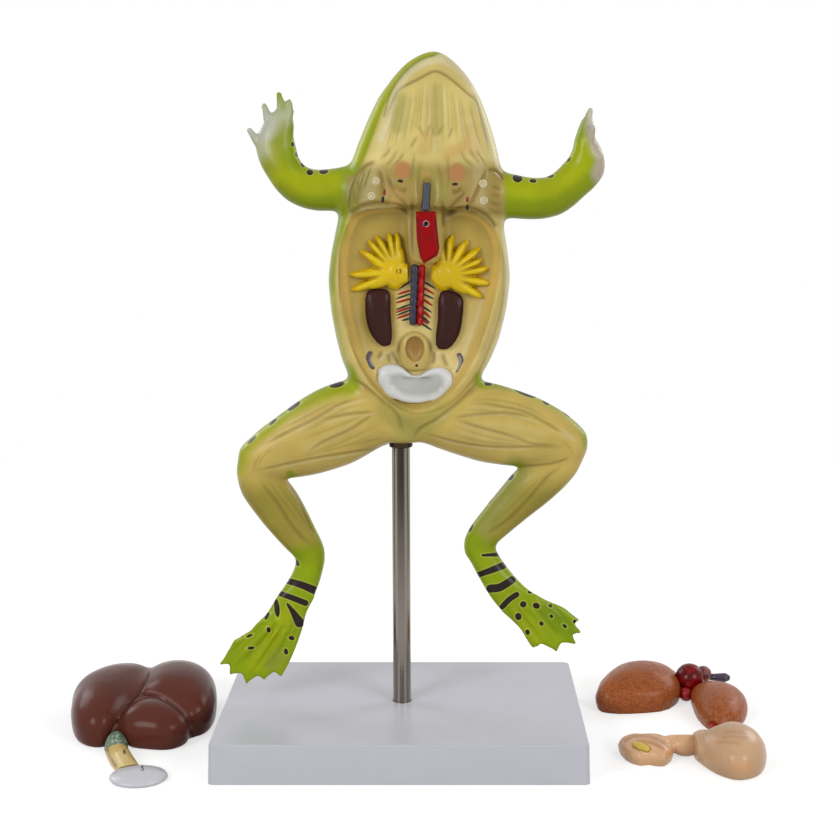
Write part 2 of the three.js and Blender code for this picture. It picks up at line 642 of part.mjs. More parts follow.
// The whole body is cut into trunk and limbs at the hips and shoulders
function makeBody() {
  const whole = trunk();
  const arms = [makeArm(leftArmLine, leftFingers), makeArm(rightArmLine, rightFingers)];
  const legs = [
    makeLeg(leftThighLine, leftShankLine, leftFoot),
    makeLeg(rightThighLine, rightShankLine, rightFoot),
  ];
  const hips = [leftHipCut, rightHipCut];
  const halves = [-1, 1].map((side) => box(farAway, farAway, farAway, (side * farAway) / 2, 0, 0));
  const shoulderUp = (line) => line[1][2];
  const shoulders = [leftArmLine, rightArmLine].map((line, i) => {
    const up = shoulderUp(line);
    const x = trunkAt("middle", up) + (i ? 1 : -1) * (trunkAt("half", up) + shoulderStub);
    return [[x, up + 1], [x, up]];
  });
  const bore = turned([
    [0, -farAway / 4],
    [sleeveBore, -farAway / 4],
    [sleeveBore, sleeveDepth + seatGap],
    [0, sleeveDepth + seatGap],
  ]);
  let torso = whole;
  legs.forEach((leg, i) => {
    torso = torso.add(leg.subtract(beyond(hips[i], i === 0, 0)));
  });
  legs.forEach((leg, i) => {
    torso = torso.subtract(beyond(hips[i], i === 0, 0).intersect(halves[i]));
  });
  arms.forEach((arm, i) => {
    torso = torso.add(arm.subtract(beyond(shoulders[i], i === 0, 0)));
  });
  torso = torso.subtract(makeCavity()).subtract(makeSlot()).subtract(bore);
  for (const [x, y, z] of eyeCentres()) torso = torso.subtract(ball(eyeRadius + seatGap, [x, y, z]));
  const legPieces = legs.map((leg, i) =>
    leg.add(whole).intersect(beyond(hips[i], i === 0, seatGap)).intersect(halves[i]),
  );
  const armPieces = arms.map((arm, i) => arm.intersect(beyond(shoulders[i], i === 0, seatGap)));
  return { torso, legPieces, armPieces };
}

// Fixed organs
function makeFatBody({ palm: { at: [rootX, rootZ], across, tall }, tips }) {
  const palm = ball(1, [rootX, 0, rootZ], [across, fatThickness, tall]);
  const fingers = tips.map(([x, z]) => {
    const line = fatFinger.map(({ along, wide, deep }) => [
      THREE.MathUtils.lerp(rootX, x, along), 0, THREE.MathUtils.lerp(rootZ, z, along), wide, deep,
    ]);
    return limb(line, { sides: thinSides, stepsPerSpan: 1 });
  });
  return inCavity(join(palm, ...fingers));
}

// Keeps the part of a piece built round the plane y = 0 that fits in the cavity, on its floor
function inCavity(piece) {
  return piece.translate([0, floorSeat, 0]).intersect(makeCavity(seatGap));
}

function makeVessel(side, halfWidth, bead) {
  const shift = side * (halfWidth * bead + seatGap / 2);
  const line = [];
  for (let step = 0; step <= vesselSpans; step++) {
    const share = step / vesselSpans;
    const x = THREE.MathUtils.lerp(vesselTop[0], vesselBottom[0], share) + shift;
    const z = THREE.MathUtils.lerp(vesselTop[1], vesselBottom[1], share);
    const swell = step % 2 ? bead : 1;
    line.push([x, 0, z, halfWidth * swell, vesselRise * swell]);
  }
  return inCavity(limb(line, { sides: vesselSides, stepsPerSpan: 1 }));
}

function makeHeartSeat() {
  const block = onWall(plate(heartSeatOutline, heartSeatThickness, heartSeatBevel), keelSeat);
  const pegRadius = pegHoleDiameter / 2;
  const hole = turned([[0, -pegHoleDepth], [pegRadius, -pegHoleDepth], [pegRadius, cutPast], [0, cutPast]]);
  const front = keelSeat - heartSeatThickness;
  return block.subtract(hole.rotate([90, 0, 0]).translate([pegHoleAt[0], front, pegHoleAt[1]]));
}

function makeThroatVein() {
  const half = throatVeinWidth / 2;
  const [topX, topZ] = throatVeinTop;
  const bottomZ = heartSeatTop() + seatGap;
  const bottomX = topX - throatVeinLean;
  const outline = [
    [bottomX - half, bottomZ], [bottomX + half, bottomZ], [topX + half, topZ], [topX - half, topZ],
  ];
  return onWall(plate(outline, throatVeinThickness, throatVeinBevel), keelSeat);
}

function hollowed(piece, { at: [x, z], across, tall, deep }, front) {
  return piece.subtract(ball(1, [x, front, z], [across, deep, tall]));
}

function makeIliac(line) {
  const stations = line.map(([x, z, wide, deep]) => [x, 0, z, wide, deep]);
  return inCavity(limb(stations, { sides: thinSides }));
}

// Removed organs, each clear of the ones that it nests against
function makeGall(gap) {
  const { at: [x, y], across, deep, tall } = gallBladder;
  return ball(1, [x, y, 0], [across + gap, deep + gap, tall + gap]);
}

function makeDisc(gap) {
  const { at: [x, y], across, deep, thickness } = sternumDisc;
  const rim = [];
  for (let step = 0; step < discPoints; step++) {
    const turn = (step / discPoints) * 2 * Math.PI;
    rim.push([x + (across + gap) * Math.cos(turn), y + (deep + gap) * Math.sin(turn)]);
  }
  return pebble(rim, thickness + gap);
}

// The bar stays clear of the gall bladder's whole upright shadow, so that either can be lifted off
function makeSternumBar() {
  const { at: [x, y], across, deep } = gallBladder;
  const column = turned([[0, -cutPast], [1, -cutPast], [1, farAway], [0, farAway]]);
  const gallRoom = column.scale([across + seatGap, deep + seatGap, 1]).translate([x, y, 0]);
  const disc = makeDisc(seatGap);
  const discRoom = disc.add(disc.translate([0, 0, -seatGap]));
  return lying(sternumBarLine).subtract(gallRoom).subtract(discRoom);
}

function makeLiver() {
  const lobes = liverLobes.map(({ rim, height }) => pebble(rim, height, liverEdge));
  return join(...lobes).subtract(makeGall(seatGap));
}

function makeLung(rim, height) {
  return pebble(rim, height).subtract(makeHeartGroup(seatGap));
}

// The heart, its atrium and the root of the aorta, as one solid grown by a gap
function makeHeartGroup(gap) {
  const heart = ball(heartRadius + gap, heartAt);
  const atrium = ball(atriumRadius + gap, atriumAt);
  return join(heart, atrium, ball(aortaRootRadius + gap, aortaRootAt));
}

function lying(line, sides = limbSides) {
  return aboveTable(limb(line, { sides, seenAlong: topView }));
}

function aboveTable(piece) {
  return piece.intersect(box(farAway, farAway, farAway, 0, 0, farAway / 2));
}

function paint(color, roughness = 0.35, metalness = 0) {
  return new THREE.MeshStandardMaterial({ color, roughness, metalness });
}

function meshOf(name, piece, material) {
  const { vertProperties, triVerts } = piece.getMesh();
  const geometry = new THREE.BufferGeometry();
  geometry.setAttribute("position", new THREE.BufferAttribute(vertProperties, 3));
  geometry.setIndex(new THREE.BufferAttribute(triVerts, 1));
  geometry.computeVertexNormals();
  const mesh = new THREE.Mesh(geometry, material);
  mesh.name = name;
  return mesh;
}

const whitePlastic = paint(0xd8d9df, 0.3);
const platedSteel = paint(0x9a938d, 0.2, 1);
const darkMetal = paint(0x3a3632, 0.4, 0.8);
const belly = paint(0xc2b078);
const greenSkin = paint(0x9ab01e);
const eyeGloss = paint(0x1c1710, 0.1);
const fatYellow = paint(0xd8b80f);
const kidneyBrown = paint(0x4a2a24);
const veinBlue = paint(0x4a4f5c);
const arteryRed = paint(0xa31218);
const iliacViolet = paint(0x6d6672);
const bladderWhite = paint(0xdedfd8);
const cream = paint(0xc9b277);
const liverBrown = paint(0x5d342b);
const gallGreen = paint(0x6f7d5e);
const sternumYellow = paint(0xcfba84);
const discWhite = paint(0xdcdbe2);
const lungOrange = paint(0x9a5a3c);
const heartRed = paint(0x7c1416);
const stomachPink = paint(0xd0a98a);
const pancreasYellow = paint(0xd8bd62);

const frog = new THREE.Group();
frog.position.z = crotchHeight;
const { torso, legPieces, armPieces } = makeBody();
frog.add(meshOf("torso", torso, belly));
["left", "right"].forEach((side, i) => {
  const [x, y, z] = eyeCentres()[i];
  frog.add(meshOf(side + "_arm", armPieces[i], greenSkin));
  frog.add(meshOf(side + "_leg", legPieces[i], greenSkin));
  frog.add(meshOf(side + "_eye", ball(eyeRadius, [x, y, z]), eyeGloss));
  frog.add(meshOf(side + "_fat_body", makeFatBody(i ? rightFat : leftFat), fatYellow));
  const kidney = pebble(i ? rightKidney : leftKidney, kidneyThickness);
  frog.add(meshOf(side + "_kidney", inCavity(onWall(kidney, 0)), kidneyBrown));
  frog.add(meshOf(side + "_iliac_vein", makeIliac(i ? rightIliac : leftIliac), iliacViolet));
});
frog.add(meshOf("vena_cava", makeVessel(-1, cavaHalfWidth, 1), veinBlue));
frog.add(meshOf("dorsal_aorta", makeVessel(1, aortaHalfWidth, aortaBead), arteryRed));
frog.add(meshOf("heart_seat", makeHeartSeat(), arteryRed));
frog.add(meshOf("throat_vein", makeThroatVein(), veinBlue));
const bladder = onWall(pebble(bladderOutline, bladderThickness), 0);
const hollowBladder = hollowed(bladder, bladderHollow, -bladderThickness);
frog.add(meshOf("bladder", inCavity(hollowBladder), bladderWhite));
const rectum = onWall(pebble(rectumOutline, rectumThickness), 0);
frog.add(meshOf("rectum", inCavity(hollowed(rectum, rectumHollow, -rectumThickness)), cream));
frog.add(meshOf("rod_sleeve", makeSleeve(), darkMetal));

const model = new THREE.Group();
model.add(meshOf("base", makeBase(), whitePlastic));
model.add(meshOf("support_rod", makeRod(), platedSteel));
model.add(frog);

model.add(meshOf("liver", makeLiver(), liverBrown));
model.add(meshOf("gall_bladder", aboveTable(makeGall(0)), gallGreen));
model.add(meshOf("sternum_bar", makeSternumBar(), sternumYellow));
model.add(meshOf("sternum_disc", makeDisc(0), discWhite));

const heartRoom = ball(heartRadius + seatGap, heartAt);
const atriumRoom = ball(atriumRadius + seatGap, atriumAt);
const tipRoom = lying(grown(lungTipLine, seatGap), thinSides);
const rightLung = makeLung(rightLungRim, rightLungHeight).subtract(tipRoom);
model.add(meshOf("left_lung", makeLung(leftLungRim, leftLungHeight), lungOrange));
model.add(meshOf("right_lung", rightLung, lungOrange));
model.add(meshOf("heart", ball(heartRadius, heartAt), heartRed));
model.add(meshOf("heart_atrium", ball(atriumRadius, atriumAt).subtract(heartRoom), heartRed));
model.add(meshOf("aorta_root", ball(aortaRootRadius, aortaRootAt).subtract(heartRoom), arteryRed));
model.add(meshOf("lung_vein", lying(lungVeinLine, thinSides).subtract(atriumRoom), veinBlue));
model.add(meshOf("lung_tip_vessel", lying(lungTipLine, thinSides), arteryRed));

const stomach = pebble(stomachRim, stomachHeight).subtract(lying(grown(intestineLine, seatGap)));
const pancreasRoom = limb(grown(pancreasLine, seatGap), { seenAlong: topView });
const coil = pebble(coilRim, coilHeight, coilEdge, coilSides);
const intestine = join(lying(intestineLine), coil).subtract(pancreasRoom);
model.add(meshOf("stomach", stomach, stomachPink));
model.add(meshOf("intestine", intestine, stomachPink));
model.add(meshOf("pancreas", limb(pancreasLine, { seenAlong: topView }), pancreasYellow));

export default model;
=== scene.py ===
import json
import math

import bmesh
import bpy
import numpy as np
from mathutils import Matrix, Vector
from mathutils.bvhtree import BVHTree

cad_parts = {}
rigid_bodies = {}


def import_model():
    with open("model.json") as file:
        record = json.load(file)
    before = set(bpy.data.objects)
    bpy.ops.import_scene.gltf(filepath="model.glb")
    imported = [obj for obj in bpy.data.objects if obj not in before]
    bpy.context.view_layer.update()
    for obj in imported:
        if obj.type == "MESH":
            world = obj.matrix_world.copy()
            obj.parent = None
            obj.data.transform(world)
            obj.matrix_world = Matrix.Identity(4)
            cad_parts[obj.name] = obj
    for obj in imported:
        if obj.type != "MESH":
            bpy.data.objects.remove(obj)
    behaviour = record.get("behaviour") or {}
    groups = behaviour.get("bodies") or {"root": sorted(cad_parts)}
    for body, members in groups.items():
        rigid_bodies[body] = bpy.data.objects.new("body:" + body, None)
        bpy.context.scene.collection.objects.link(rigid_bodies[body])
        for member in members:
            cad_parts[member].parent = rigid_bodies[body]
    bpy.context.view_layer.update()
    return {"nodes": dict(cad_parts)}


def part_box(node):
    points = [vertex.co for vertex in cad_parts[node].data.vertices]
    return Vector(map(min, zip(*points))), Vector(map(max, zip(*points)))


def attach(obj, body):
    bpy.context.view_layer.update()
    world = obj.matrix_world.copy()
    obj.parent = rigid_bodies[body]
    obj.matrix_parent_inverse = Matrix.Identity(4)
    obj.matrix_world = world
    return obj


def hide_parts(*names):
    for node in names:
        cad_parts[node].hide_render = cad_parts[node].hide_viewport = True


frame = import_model()
mm = 0.001
weld = 0.002 * mm  # points of the solids nearer than this are joined

# Where the picture was taken from. Marks on the frog are given in pixels of that picture.
shot = {
    "place": (0.0228, -0.7787, 0.3177),
    "pitchDown": 9.79,  # degrees
    "focal": 1440,  # pixels
    "pixel": 0.53,  # millimetres that one covers on the frog
    "centre": (442.3, 420),
    "picture": 840,
    "sensor": 36,
}


def makeCamera():
    data = bpy.data.cameras.new("camera")
    data.sensor_width = shot["sensor"]
    data.lens = shot["focal"] * shot["sensor"] / shot["picture"]
    data.shift_x = 0.5 - shot["centre"][0] / shot["picture"]
    camera = bpy.data.objects.new("camera", data)
    camera.location = shot["place"]
    camera.rotation_euler = (math.radians(90 - shot["pitchDown"]), 0, 0)
    bpy.context.scene.collection.objects.link(camera)
    bpy.context.scene.camera = camera


# Where points in metres are seen in the picture
def seenAt(points):
    pitch = math.radians(shot["pitchDown"])
    across, away, up = (points - np.array(shot["place"])).T
    depth = away * math.cos(pitch) - up * math.sin(pitch)
    rise = away * math.sin(pitch) + up * math.cos(pitch)
    share = shot["focal"] / depth
    return np.column_stack((shot["centre"][0] + across * share, shot["centre"][1] - rise * share))


# The line of sight through a pixel
def sightAt(across, down):
    pitch = math.radians(shot["pitchDown"])
    right = (across - shot["centre"][0]) / shot["focal"]
    rise = (shot["centre"][1] - down) / shot["focal"]
    way = (right, math.cos(pitch) + rise * math.sin(pitch), rise * math.cos(pitch) - math.sin(pitch))
    return Vector(shot["place"]), Vector(way)


# Colours are written as they are seen, 0 to 255, and turned into linear light here
def light(colour):
    seen = np.array(colour, float) / 255
    return np.where(seen <= 0.04045, seen / 12.92, ((seen + 0.055) / 1.055) ** 2.4)


def rgba(colour):
    return (*light(colour), 1)


def layer(base, colour, mask):
    return base + (light(colour) - base) * mask[:, None]


def smoothStep(value, low, high):
    share = np.clip((value - low) / (high - low), 0, 1)
    return share * share * (3 - 2 * share)


# Mesh helpers
def readPoints(mesh):
    flat = np.empty(len(mesh.vertices) * 3, np.float32)
    mesh.vertices.foreach_get("co", flat)
    return flat.reshape(-1, 3).astype(float)


def writePoints(mesh, points):
    mesh.vertices.foreach_set("co", points.astype(np.float32).ravel())
    mesh.update()


def readNormals(mesh):
    flat = np.empty(len(mesh.vertices) * 3, np.float32)
    mesh.vertex_normals.foreach_get("vector", flat)
    return flat.reshape(-1, 3).astype(float)


def newObject(name, bm):
    mesh = bpy.data.meshes.new(name)
    bm.to_mesh(mesh)
    bm.free()
    made = bpy.data.objects.new(name, mesh)
    bpy.context.scene.collection.objects.link(made)
    return made


def smoothShaded(piece, sharpAngle=180):
    piece.data.shade_smooth()
    if sharpAngle < 180:
        piece.data.set_sharp_from_angle(angle=math.radians(sharpAngle))


def dress(piece, body, slotName, material, *nodes):
    piece.data.materials.clear()
    piece.data.materials.append(material)
    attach(piece, body)
    if nodes:
        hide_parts(*nodes)
    return piece


def mergedCopy(name, *nodes):
    bm = bmesh.new()
    for node in nodes:
        bm.from_mesh(frame["nodes"][node].data)
    bmesh.ops.remove_doubles(bm, verts=bm.verts, dist=weld)
    return newObject(name, bm)


def remesh(piece, voxel):
    modifier = piece.modifiers.new("remesh", "REMESH")
    modifier.mode = "VOXEL"
    modifier.voxel_size = voxel * mm
    ready = piece.evaluated_get(bpy.context.evaluated_depsgraph_get())
    fresh = bpy.data.meshes.new_from_object(ready)
    piece.modifiers.clear()
    piece.data = fresh


# Evens out points over their neighbours. The second pass puts back what the first took off round forms; without
# it hollow corners fill up.
def relax(piece, voxel, reach, weight=1.0, putBack=True):
    mesh = piece.data
    ends = np.empty(len(mesh.edges) * 2, np.int64)
    mesh.edges.foreach_get("vertices", ends)
    first, second = ends.reshape(-1, 2).T
    count = len(mesh.vertices)
    neighbours = np.bincount(ends, minlength=count)
    rounds = int(reach**2 / (0.25 * voxel**2))

    def even(field):
        for _ in range(rounds):
            mean = np.empty_like(field)
            for axis in range(3):
                column = field[:, axis]
                mean[:, axis] = np.bincount(first, column[second], count) + np.bincount(second, column[first], count)
            mean /= neighbours[:, None]
            field = field + 0.5 * weight * (mean - field)
        return field

    before = readPoints(mesh)
    after = even(before)
    if putBack:
        after += even(before - after)
    writePoints(mesh, after)


# A rounded copy of solids. A fill is an ellipsoid joined to them first, as (centre, half sizes, turn) in
# millimetres and degrees. Swell makes good what the rounding takes off.
def softCopy(name, voxel, reach, *nodes, fill=(), swell=0):
    piece = mergedCopy(name, *nodes)
    if fill:
        bm = bmesh.new()
        bm.from_mesh(piece.data)
        for centre, halves, turn in fill:
            place = Matrix.Translation(centre) @ Matrix.Rotation(math.radians(turn), 4, "Y")
            place = Matrix.Scale(mm, 4) @ (place @ Matrix.Diagonal((*halves, 1)))
            bmesh.ops.create_uvsphere(bm, u_segments=32, v_segments=16, radius=1, matrix=place)
        bm.to_mesh(piece.data)
        bm.free()
    remesh(piece, voxel)
    relax(piece, voxel, reach)
    points = readPoints(piece.data) + readNormals(piece.data) * swell * mm
    low = np.min([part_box(node)[0] for node in nodes], axis=0)
    high = np.max([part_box(node)[1] for node in nodes], axis=0)
    writePoints(piece.data, np.clip(points, low, high))
    smoothShaded(piece)
    return piece


# Strokes in the picture
def curved(stroke, steps=5):
    line = np.array(stroke, float)
    if len(line) < 3:
        return line
    padded = np.vstack((2 * line[0] - line[1], line, 2 * line[-1] - line[-2]))
    made = []
    for before, start, end, after in zip(padded, padded[1:], padded[2:], padded[3:]):
        for t in np.arange(steps) / steps:
            made.append(
                0.5 * (2 * start + (end - before) * t + (2 * before - 5 * start + 4 * end - after) * t * t
                       + (3 * start - before - 3 * end + after) * t**3)
            )
    return np.array([*made, line[-1]])


# Distance to a stroke, and how far along it the nearest point is, from 0 to 1
def strokeGap(seen, line, reach=30):
    low, high = line.min(0) - reach, line.max(0) + reach
    near = np.flatnonzero(((seen > low) & (seen < high)).all(1))
    here = seen[near]
    lengths = np.linalg.norm(np.diff(line, axis=0), axis=1)
    starts = np.concatenate(([0], np.cumsum(lengths)))
    gap = np.full(len(seen), 1e3)
    along = np.zeros(len(seen))
    best = np.full(len(near), 1e3)
    place = np.zeros(len(near))
    for i, (a, b) in enumerate(zip(line, line[1:])):
        share = np.clip(((here - a) @ (b - a)) / max((b - a) @ (b - a), 1e-9), 0, 1)
        span = np.linalg.norm(here - a - share[:, None] * (b - a), axis=1)
        closer = span < best
        best[closer] = span[closer]
        place[closer] = (starts[i] + share[closer] * lengths[i]) / starts[-1]
    gap[near] = best
    along[near] = place
    return gap, along


# Distance to a closed outline, below zero inside
def outlineGap(seen, outline):
    line = curved([*outline, outline[0]])
    gap, _ = strokeGap(seen, line)
    inside = np.zeros(len(seen), bool)
    for (ax, ay), (bx, by) in zip(line, line[1:]):
        if ay == by:
            continue
        crosses = (ay > seen[:, 1]) != (by > seen[:, 1])
        inside ^= crosses & (seen[:, 0] < ax + (seen[:, 1] - ay) * (bx - ax) / (by - ay))
    return np.where(inside, -gap, gap)


def look(piece):
    points = readPoints(piece.data)
    normals = readNormals(piece.data)
    toCamera = np.array(shot["place"]) - points
    toCamera /= np.linalg.norm(toCamera, axis=1)[:, None]
    return {"points": points, "normals": normals, "seen": seenAt(points), "facing": (normals * toCamera).sum(1)}


def setColours(piece, colours, name="paint"):
    attribute = piece.data.attributes.new(name, "FLOAT_COLOR", "POINT")
    attribute.data.foreach_set("color", np.column_stack((colours, np.ones(len(colours)))).astype(np.float32).ravel())


def setValues(piece, values, name):
    attribute = piece.data.attributes.new(name, "FLOAT", "POINT")
    attribute.data.foreach_set("value", values.astype(np.float32))


# A shader node with its settings. Its inputs are constants, or the outputs that feed them.
def addNode(tree, kind, inputs=None, **settings):
    made = tree.nodes.new(kind)
    for key, value in settings.items():
        setattr(made, key, value)
    for key, value in (inputs or {}).items():
        if isinstance(value, bpy.types.NodeSocket):
            tree.links.new(value, made.inputs[key])
        else:
            made.inputs[key].default_value = value
    return made


# The result of a Math node
def maths(tree, kind, *values):
    return addNode(tree, "ShaderNodeMath", dict(enumerate(values)), operation=kind).outputs[0]


def mixed(tree, share, first, second):
    mix = addNode(tree, "ShaderNodeMix", {"Factor": share, "A": first, "B": second}, data_type="RGBA")
    return mix.outputs["Result"]


# A texture in the object's own metres
def textured(tree, kind, inputs=None, **settings):
    place = addNode(tree, "ShaderNodeTexCoord").outputs["Object"]
    return addNode(tree, kind, {"Vector": place, **(inputs or {})}, **settings)


# A group takes colours and numbers with their usual values, and gives the outputs that `build` returns
def shaderGroup(name, inputs, build):
    group = bpy.data.node_groups.new(name, "ShaderNodeTree")
    for label, value in inputs.items():
        kind = "NodeSocketColor" if isinstance(value, tuple) else "NodeSocketFloat"
        group.interface.new_socket(label, in_out="INPUT", socket_type=kind).default_value = value
    made = build(group, group.nodes.new("NodeGroupInput").outputs)
    out = group.nodes.new("NodeGroupOutput")
    for label, value in made.items():
        kind = "NodeSocketColor" if label == "Color" else "NodeSocketFloat"
        group.interface.new_socket(label, in_out="OUTPUT", socket_type=kind)
        group.links.new(value, out.inputs[label])
    return group


# Cloudy airbrush tone and fine specks over a colour, and a slight orange peel in the lacquer
def cloudTone(tree, given):
    cloud = textured(tree, "ShaderNodeTexNoise", {"Scale": given["Cloud Scale"], "Detail": 4}).outputs["Fac"]
    speck = textured(tree, "ShaderNodeTexNoise", {"Scale": given["Speck Scale"], "Detail": 2}).outputs["Fac"]
    both = maths(tree, "MULTIPLY_ADD", speck, 0.25, cloud)
    tone = addNode(tree, "ShaderNodeMapRange", {
        "Value": both, "From Min": 0.4, "From Max": 0.85,
        "To Min": maths(tree, "SUBTRACT", 1, given["Amount"]), "To Max": maths(tree, "ADD", 1, given["Amount"])})
    scaled = addNode(tree, "ShaderNodeVectorMath", {0: given["Color"], "Scale": tone.outputs[0]}, operation="SCALE")
    return {"Color": scaled.outputs[0], "Height": both}


noMark = 20.0  # millimetres from a mark at which nothing of it shows


# Crisp paint marks with a pale ring, from a distance in millimetres that the mesh carries
def ringedMarks(tree, given):
    last = given["Color"]
    for label, far, near, most in (("Ring Color", 0.65, 0.25, given["Ring Share"]), ("Mark Color", 0.15, -0.15, 1)):
        edge = {"Value": given["Gap"], "From Min": far, "From Max": near, "To Max": most}
        last = mixed(tree, addNode(tree, "ShaderNodeMapRange", edge).outputs[0], last, given[label])
    return {"Color": last}


# Round dark spots spread over a region that the mesh carries, turned into the same kind of distance
def roundSpots(tree, given):
    wobble = textured(tree, "ShaderNodeTexNoise", {"Scale": 160, "Detail": 2}).outputs["Fac"]
    cells = textured(tree, "ShaderNodeTexVoronoi", {"Scale": given["Scale"], "Randomness": 0.8}).outputs["Distance"]
    rough = maths(tree, "MULTIPLY", maths(tree, "SUBTRACT", wobble, 0.5), 0.16)
    near = maths(tree, "SUBTRACT", maths(tree, "ADD", cells, rough), given["Radius"])
    away = maths(tree, "MULTIPLY", near, maths(tree, "DIVIDE", 1000, given["Scale"]))
    outside = maths(tree, "MULTIPLY", maths(tree, "SUBTRACT", 1, given["Region"]), noMark)
    return {"Gap": maths(tree, "MINIMUM", given["Gap"], maths(tree, "ADD", away, outside))}


# Streaks of a second colour drawn out through the first
def drawnStreaks(tree, given):
    noise = {"Scale": given["Scale"], "Detail": 5, "Roughness": 0.6, "Distortion": 1.6}
    streak = textured(tree, "ShaderNodeTexNoise", noise).outputs["Fac"]
    level = addNode(tree, "ShaderNodeMapRange", {
        "Value": streak, "From Min": maths(tree, "SUBTRACT", given["Share"], 0.08),
        "From Max": maths(tree, "ADD", given["Share"], 0.08)}, interpolation_type="SMOOTHSTEP").outputs[0]
    return {"Color": mixed(tree, level, given["Color"], given["Streak Color"]), "Height": level}


# Small rounded cells with darker seams, as on a lung
def seamedCells(tree, given):
    far = textured(tree, "ShaderNodeTexVoronoi", {"Scale": given["Scale"]}, feature="SMOOTH_F1").outputs["Distance"]
    edge = {"Value": far, "From Min": 0.25, "From Max": 0.6, "To Max": given["Depth"]}
    seam = addNode(tree, "ShaderNodeMapRange", edge, interpolation_type="SMOOTHSTEP").outputs[0]
    return {"Color": mixed(tree, seam, given["Color"], given["Seam Color"]), "Height": maths(tree, "SUBTRACT", 1, seam)}


white, black = (1, 1, 1, 1), (0, 0, 0, 1)
groups = {
    "mottle": shaderGroup("airbrushMottle", {"Color": white, "Amount": 0.1, "Cloud Scale": 60, "Speck Scale": 900},
                          cloudTone),
    "mark": shaderGroup("paintedMark", {"Color": white, "Mark Color": black, "Ring Color": white,
                                        "Ring Share": 0.6, "Gap": 1}, ringedMarks),
    "marble": shaderGroup("marbledPaint", {"Color": white, "Streak Color": black, "Scale": 120, "Share": 0.5},
                          drawnStreaks),
    "cell": shaderGroup("lungCells", {"Color": white, "Seam Color": black, "Scale": 500, "Depth": 0.5}, seamedCells),
    "spot": shaderGroup("spreadSpots", {"Region": 0, "Gap": noMark, "Scale": 56, "Radius": 0.26}, roundSpots),
}


def useGroup(tree, name, inputs):
    return addNode(tree, "ShaderNodeGroup", inputs, node_tree=groups[name]).outputs


def newMaterial(name, inputs):
    material = bpy.data.materials.new(name)
    material.use_nodes = True
    surface = material.node_tree.nodes["Principled BSDF"]
    for key, value in inputs.items():
        surface.inputs[key].default_value = value
    return material, material.node_tree, surface


# Lacquered paint over moulded plastic: the usual finish of every part of the model
def paintedFinish(name, colour=None, marks=None, mottle=0.1, rough=0.32, coat=0.1, peel=0.00004, shine=0.3,
                  second=None):
    material, tree, surface = newMaterial(name, {
        "Roughness": rough, "Specular IOR Level": shine, "Coat Weight": coat, "Coat Roughness": 0.12})

    def carried(attribute, output="Fac"):
        return addNode(tree, "ShaderNodeAttribute", attribute_name=attribute).outputs[output]

    paint = rgba(colour) if colour else carried("paint", "Color")
    tone = useGroup(tree, "mottle", {"Color": paint, "Amount": mottle})
    last, relief = tone["Color"], tone["Height"]
    if second:
        extra = {key.title(): rgba(value) if "color" in key else value for key, value in second.items()}
        tone = useGroup(tree, "cell" if "depth" in second else "marble", {"Color": last, **extra})
        last, relief = tone["Color"], tone["Height"]
    if marks:
        spots = useGroup(tree, "spot", {"Gap": carried(marks["gap"]), "Region": carried(marks["region"])})
        last = useGroup(tree, "mark", {"Color": last, "Mark Color": rgba(marks["colour"]),
                                       "Ring Color": rgba(marks["ring"]), "Gap": spots["Gap"]})["Color"]
    tree.links.new(last, surface.inputs["Base Color"])
    bump = addNode(tree, "ShaderNodeBump", {"Strength": 0.5, "Distance": peel, "Height": relief})
    tree.links.new(bump.outputs["Normal"], surface.inputs["Normal"])
    return material


# Studio
studio = {
    "floorRadius": 0.9,  # past this the white backdrop shows
    "floorShade": 0.5,
    "glow": 0.62,  # lifts the floor to white where the camera sees it
    "sky": 0.45,
    "lamps": {
        "left": {"place": (-0.80, -0.95, 0.62), "size": 0.5, "power": 7},
        "right": {"place": (0.85, -0.90, 0.60), "size": 0.5, "power": 6},
        "rearLeft": {"place": (-1.05, 0.75, 0.75), "size": 0.6, "power": 4},
        "rearRight": {"place": (1.05, 0.75, 0.75), "size": 0.6, "power": 4},
    },
    "aim": (0.0, 0.0, 0.2),
}


def addSeen(tree, strong, weak):
    path = addNode(tree, "ShaderNodeLightPath").outputs
    other = maths(tree, "MAXIMUM", path["Is Glossy Ray"], path["Is Transmission Ray"])
    seen = maths(tree, "MAXIMUM", path["Is Camera Ray"], other)
    return addNode(tree, "ShaderNodeMapRange", {"Value": seen, "To Min": weak, "To Max": strong}).outputs[0]


def makeStudio():
    world = bpy.data.worlds.new("studio")
    world.use_nodes = True
    bpy.context.scene.world = world
    background = world.node_tree.nodes["Background"]
    background.inputs["Color"].default_value = white
    world.node_tree.links.new(addSeen(world.node_tree, 1, studio["sky"]), background.inputs["Strength"])
    bm = bmesh.new()
    bmesh.ops.create_circle(bm, cap_ends=True, segments=96, radius=studio["floorRadius"])
    floor = newObject("floor", bm)
    material, tree, surface = newMaterial("floorPaper", {
        "Base Color": (studio["floorShade"],) * 3 + (1,), "Roughness": 0.9, "Specular IOR Level": 0.1,
        "Emission Color": white})
    tree.links.new(addSeen(tree, studio["glow"], 0), surface.inputs["Emission Strength"])
    floor.data.materials.append(material)
    for name, lamp in studio["lamps"].items():
        data = bpy.data.lights.new(name, "AREA")
        data.energy = lamp["power"]
        data.size = lamp["size"]
        made = bpy.data.objects.new(name, data)
        made.location = lamp["place"]
        made.rotation_euler = (Vector(studio["aim"]) - Vector(lamp["place"])).to_track_quat("-Z", "Y").to_euler()
        bpy.context.scene.collection.objects.link(made)
    bpy.context.scene.view_settings.view_transform = "Standard"


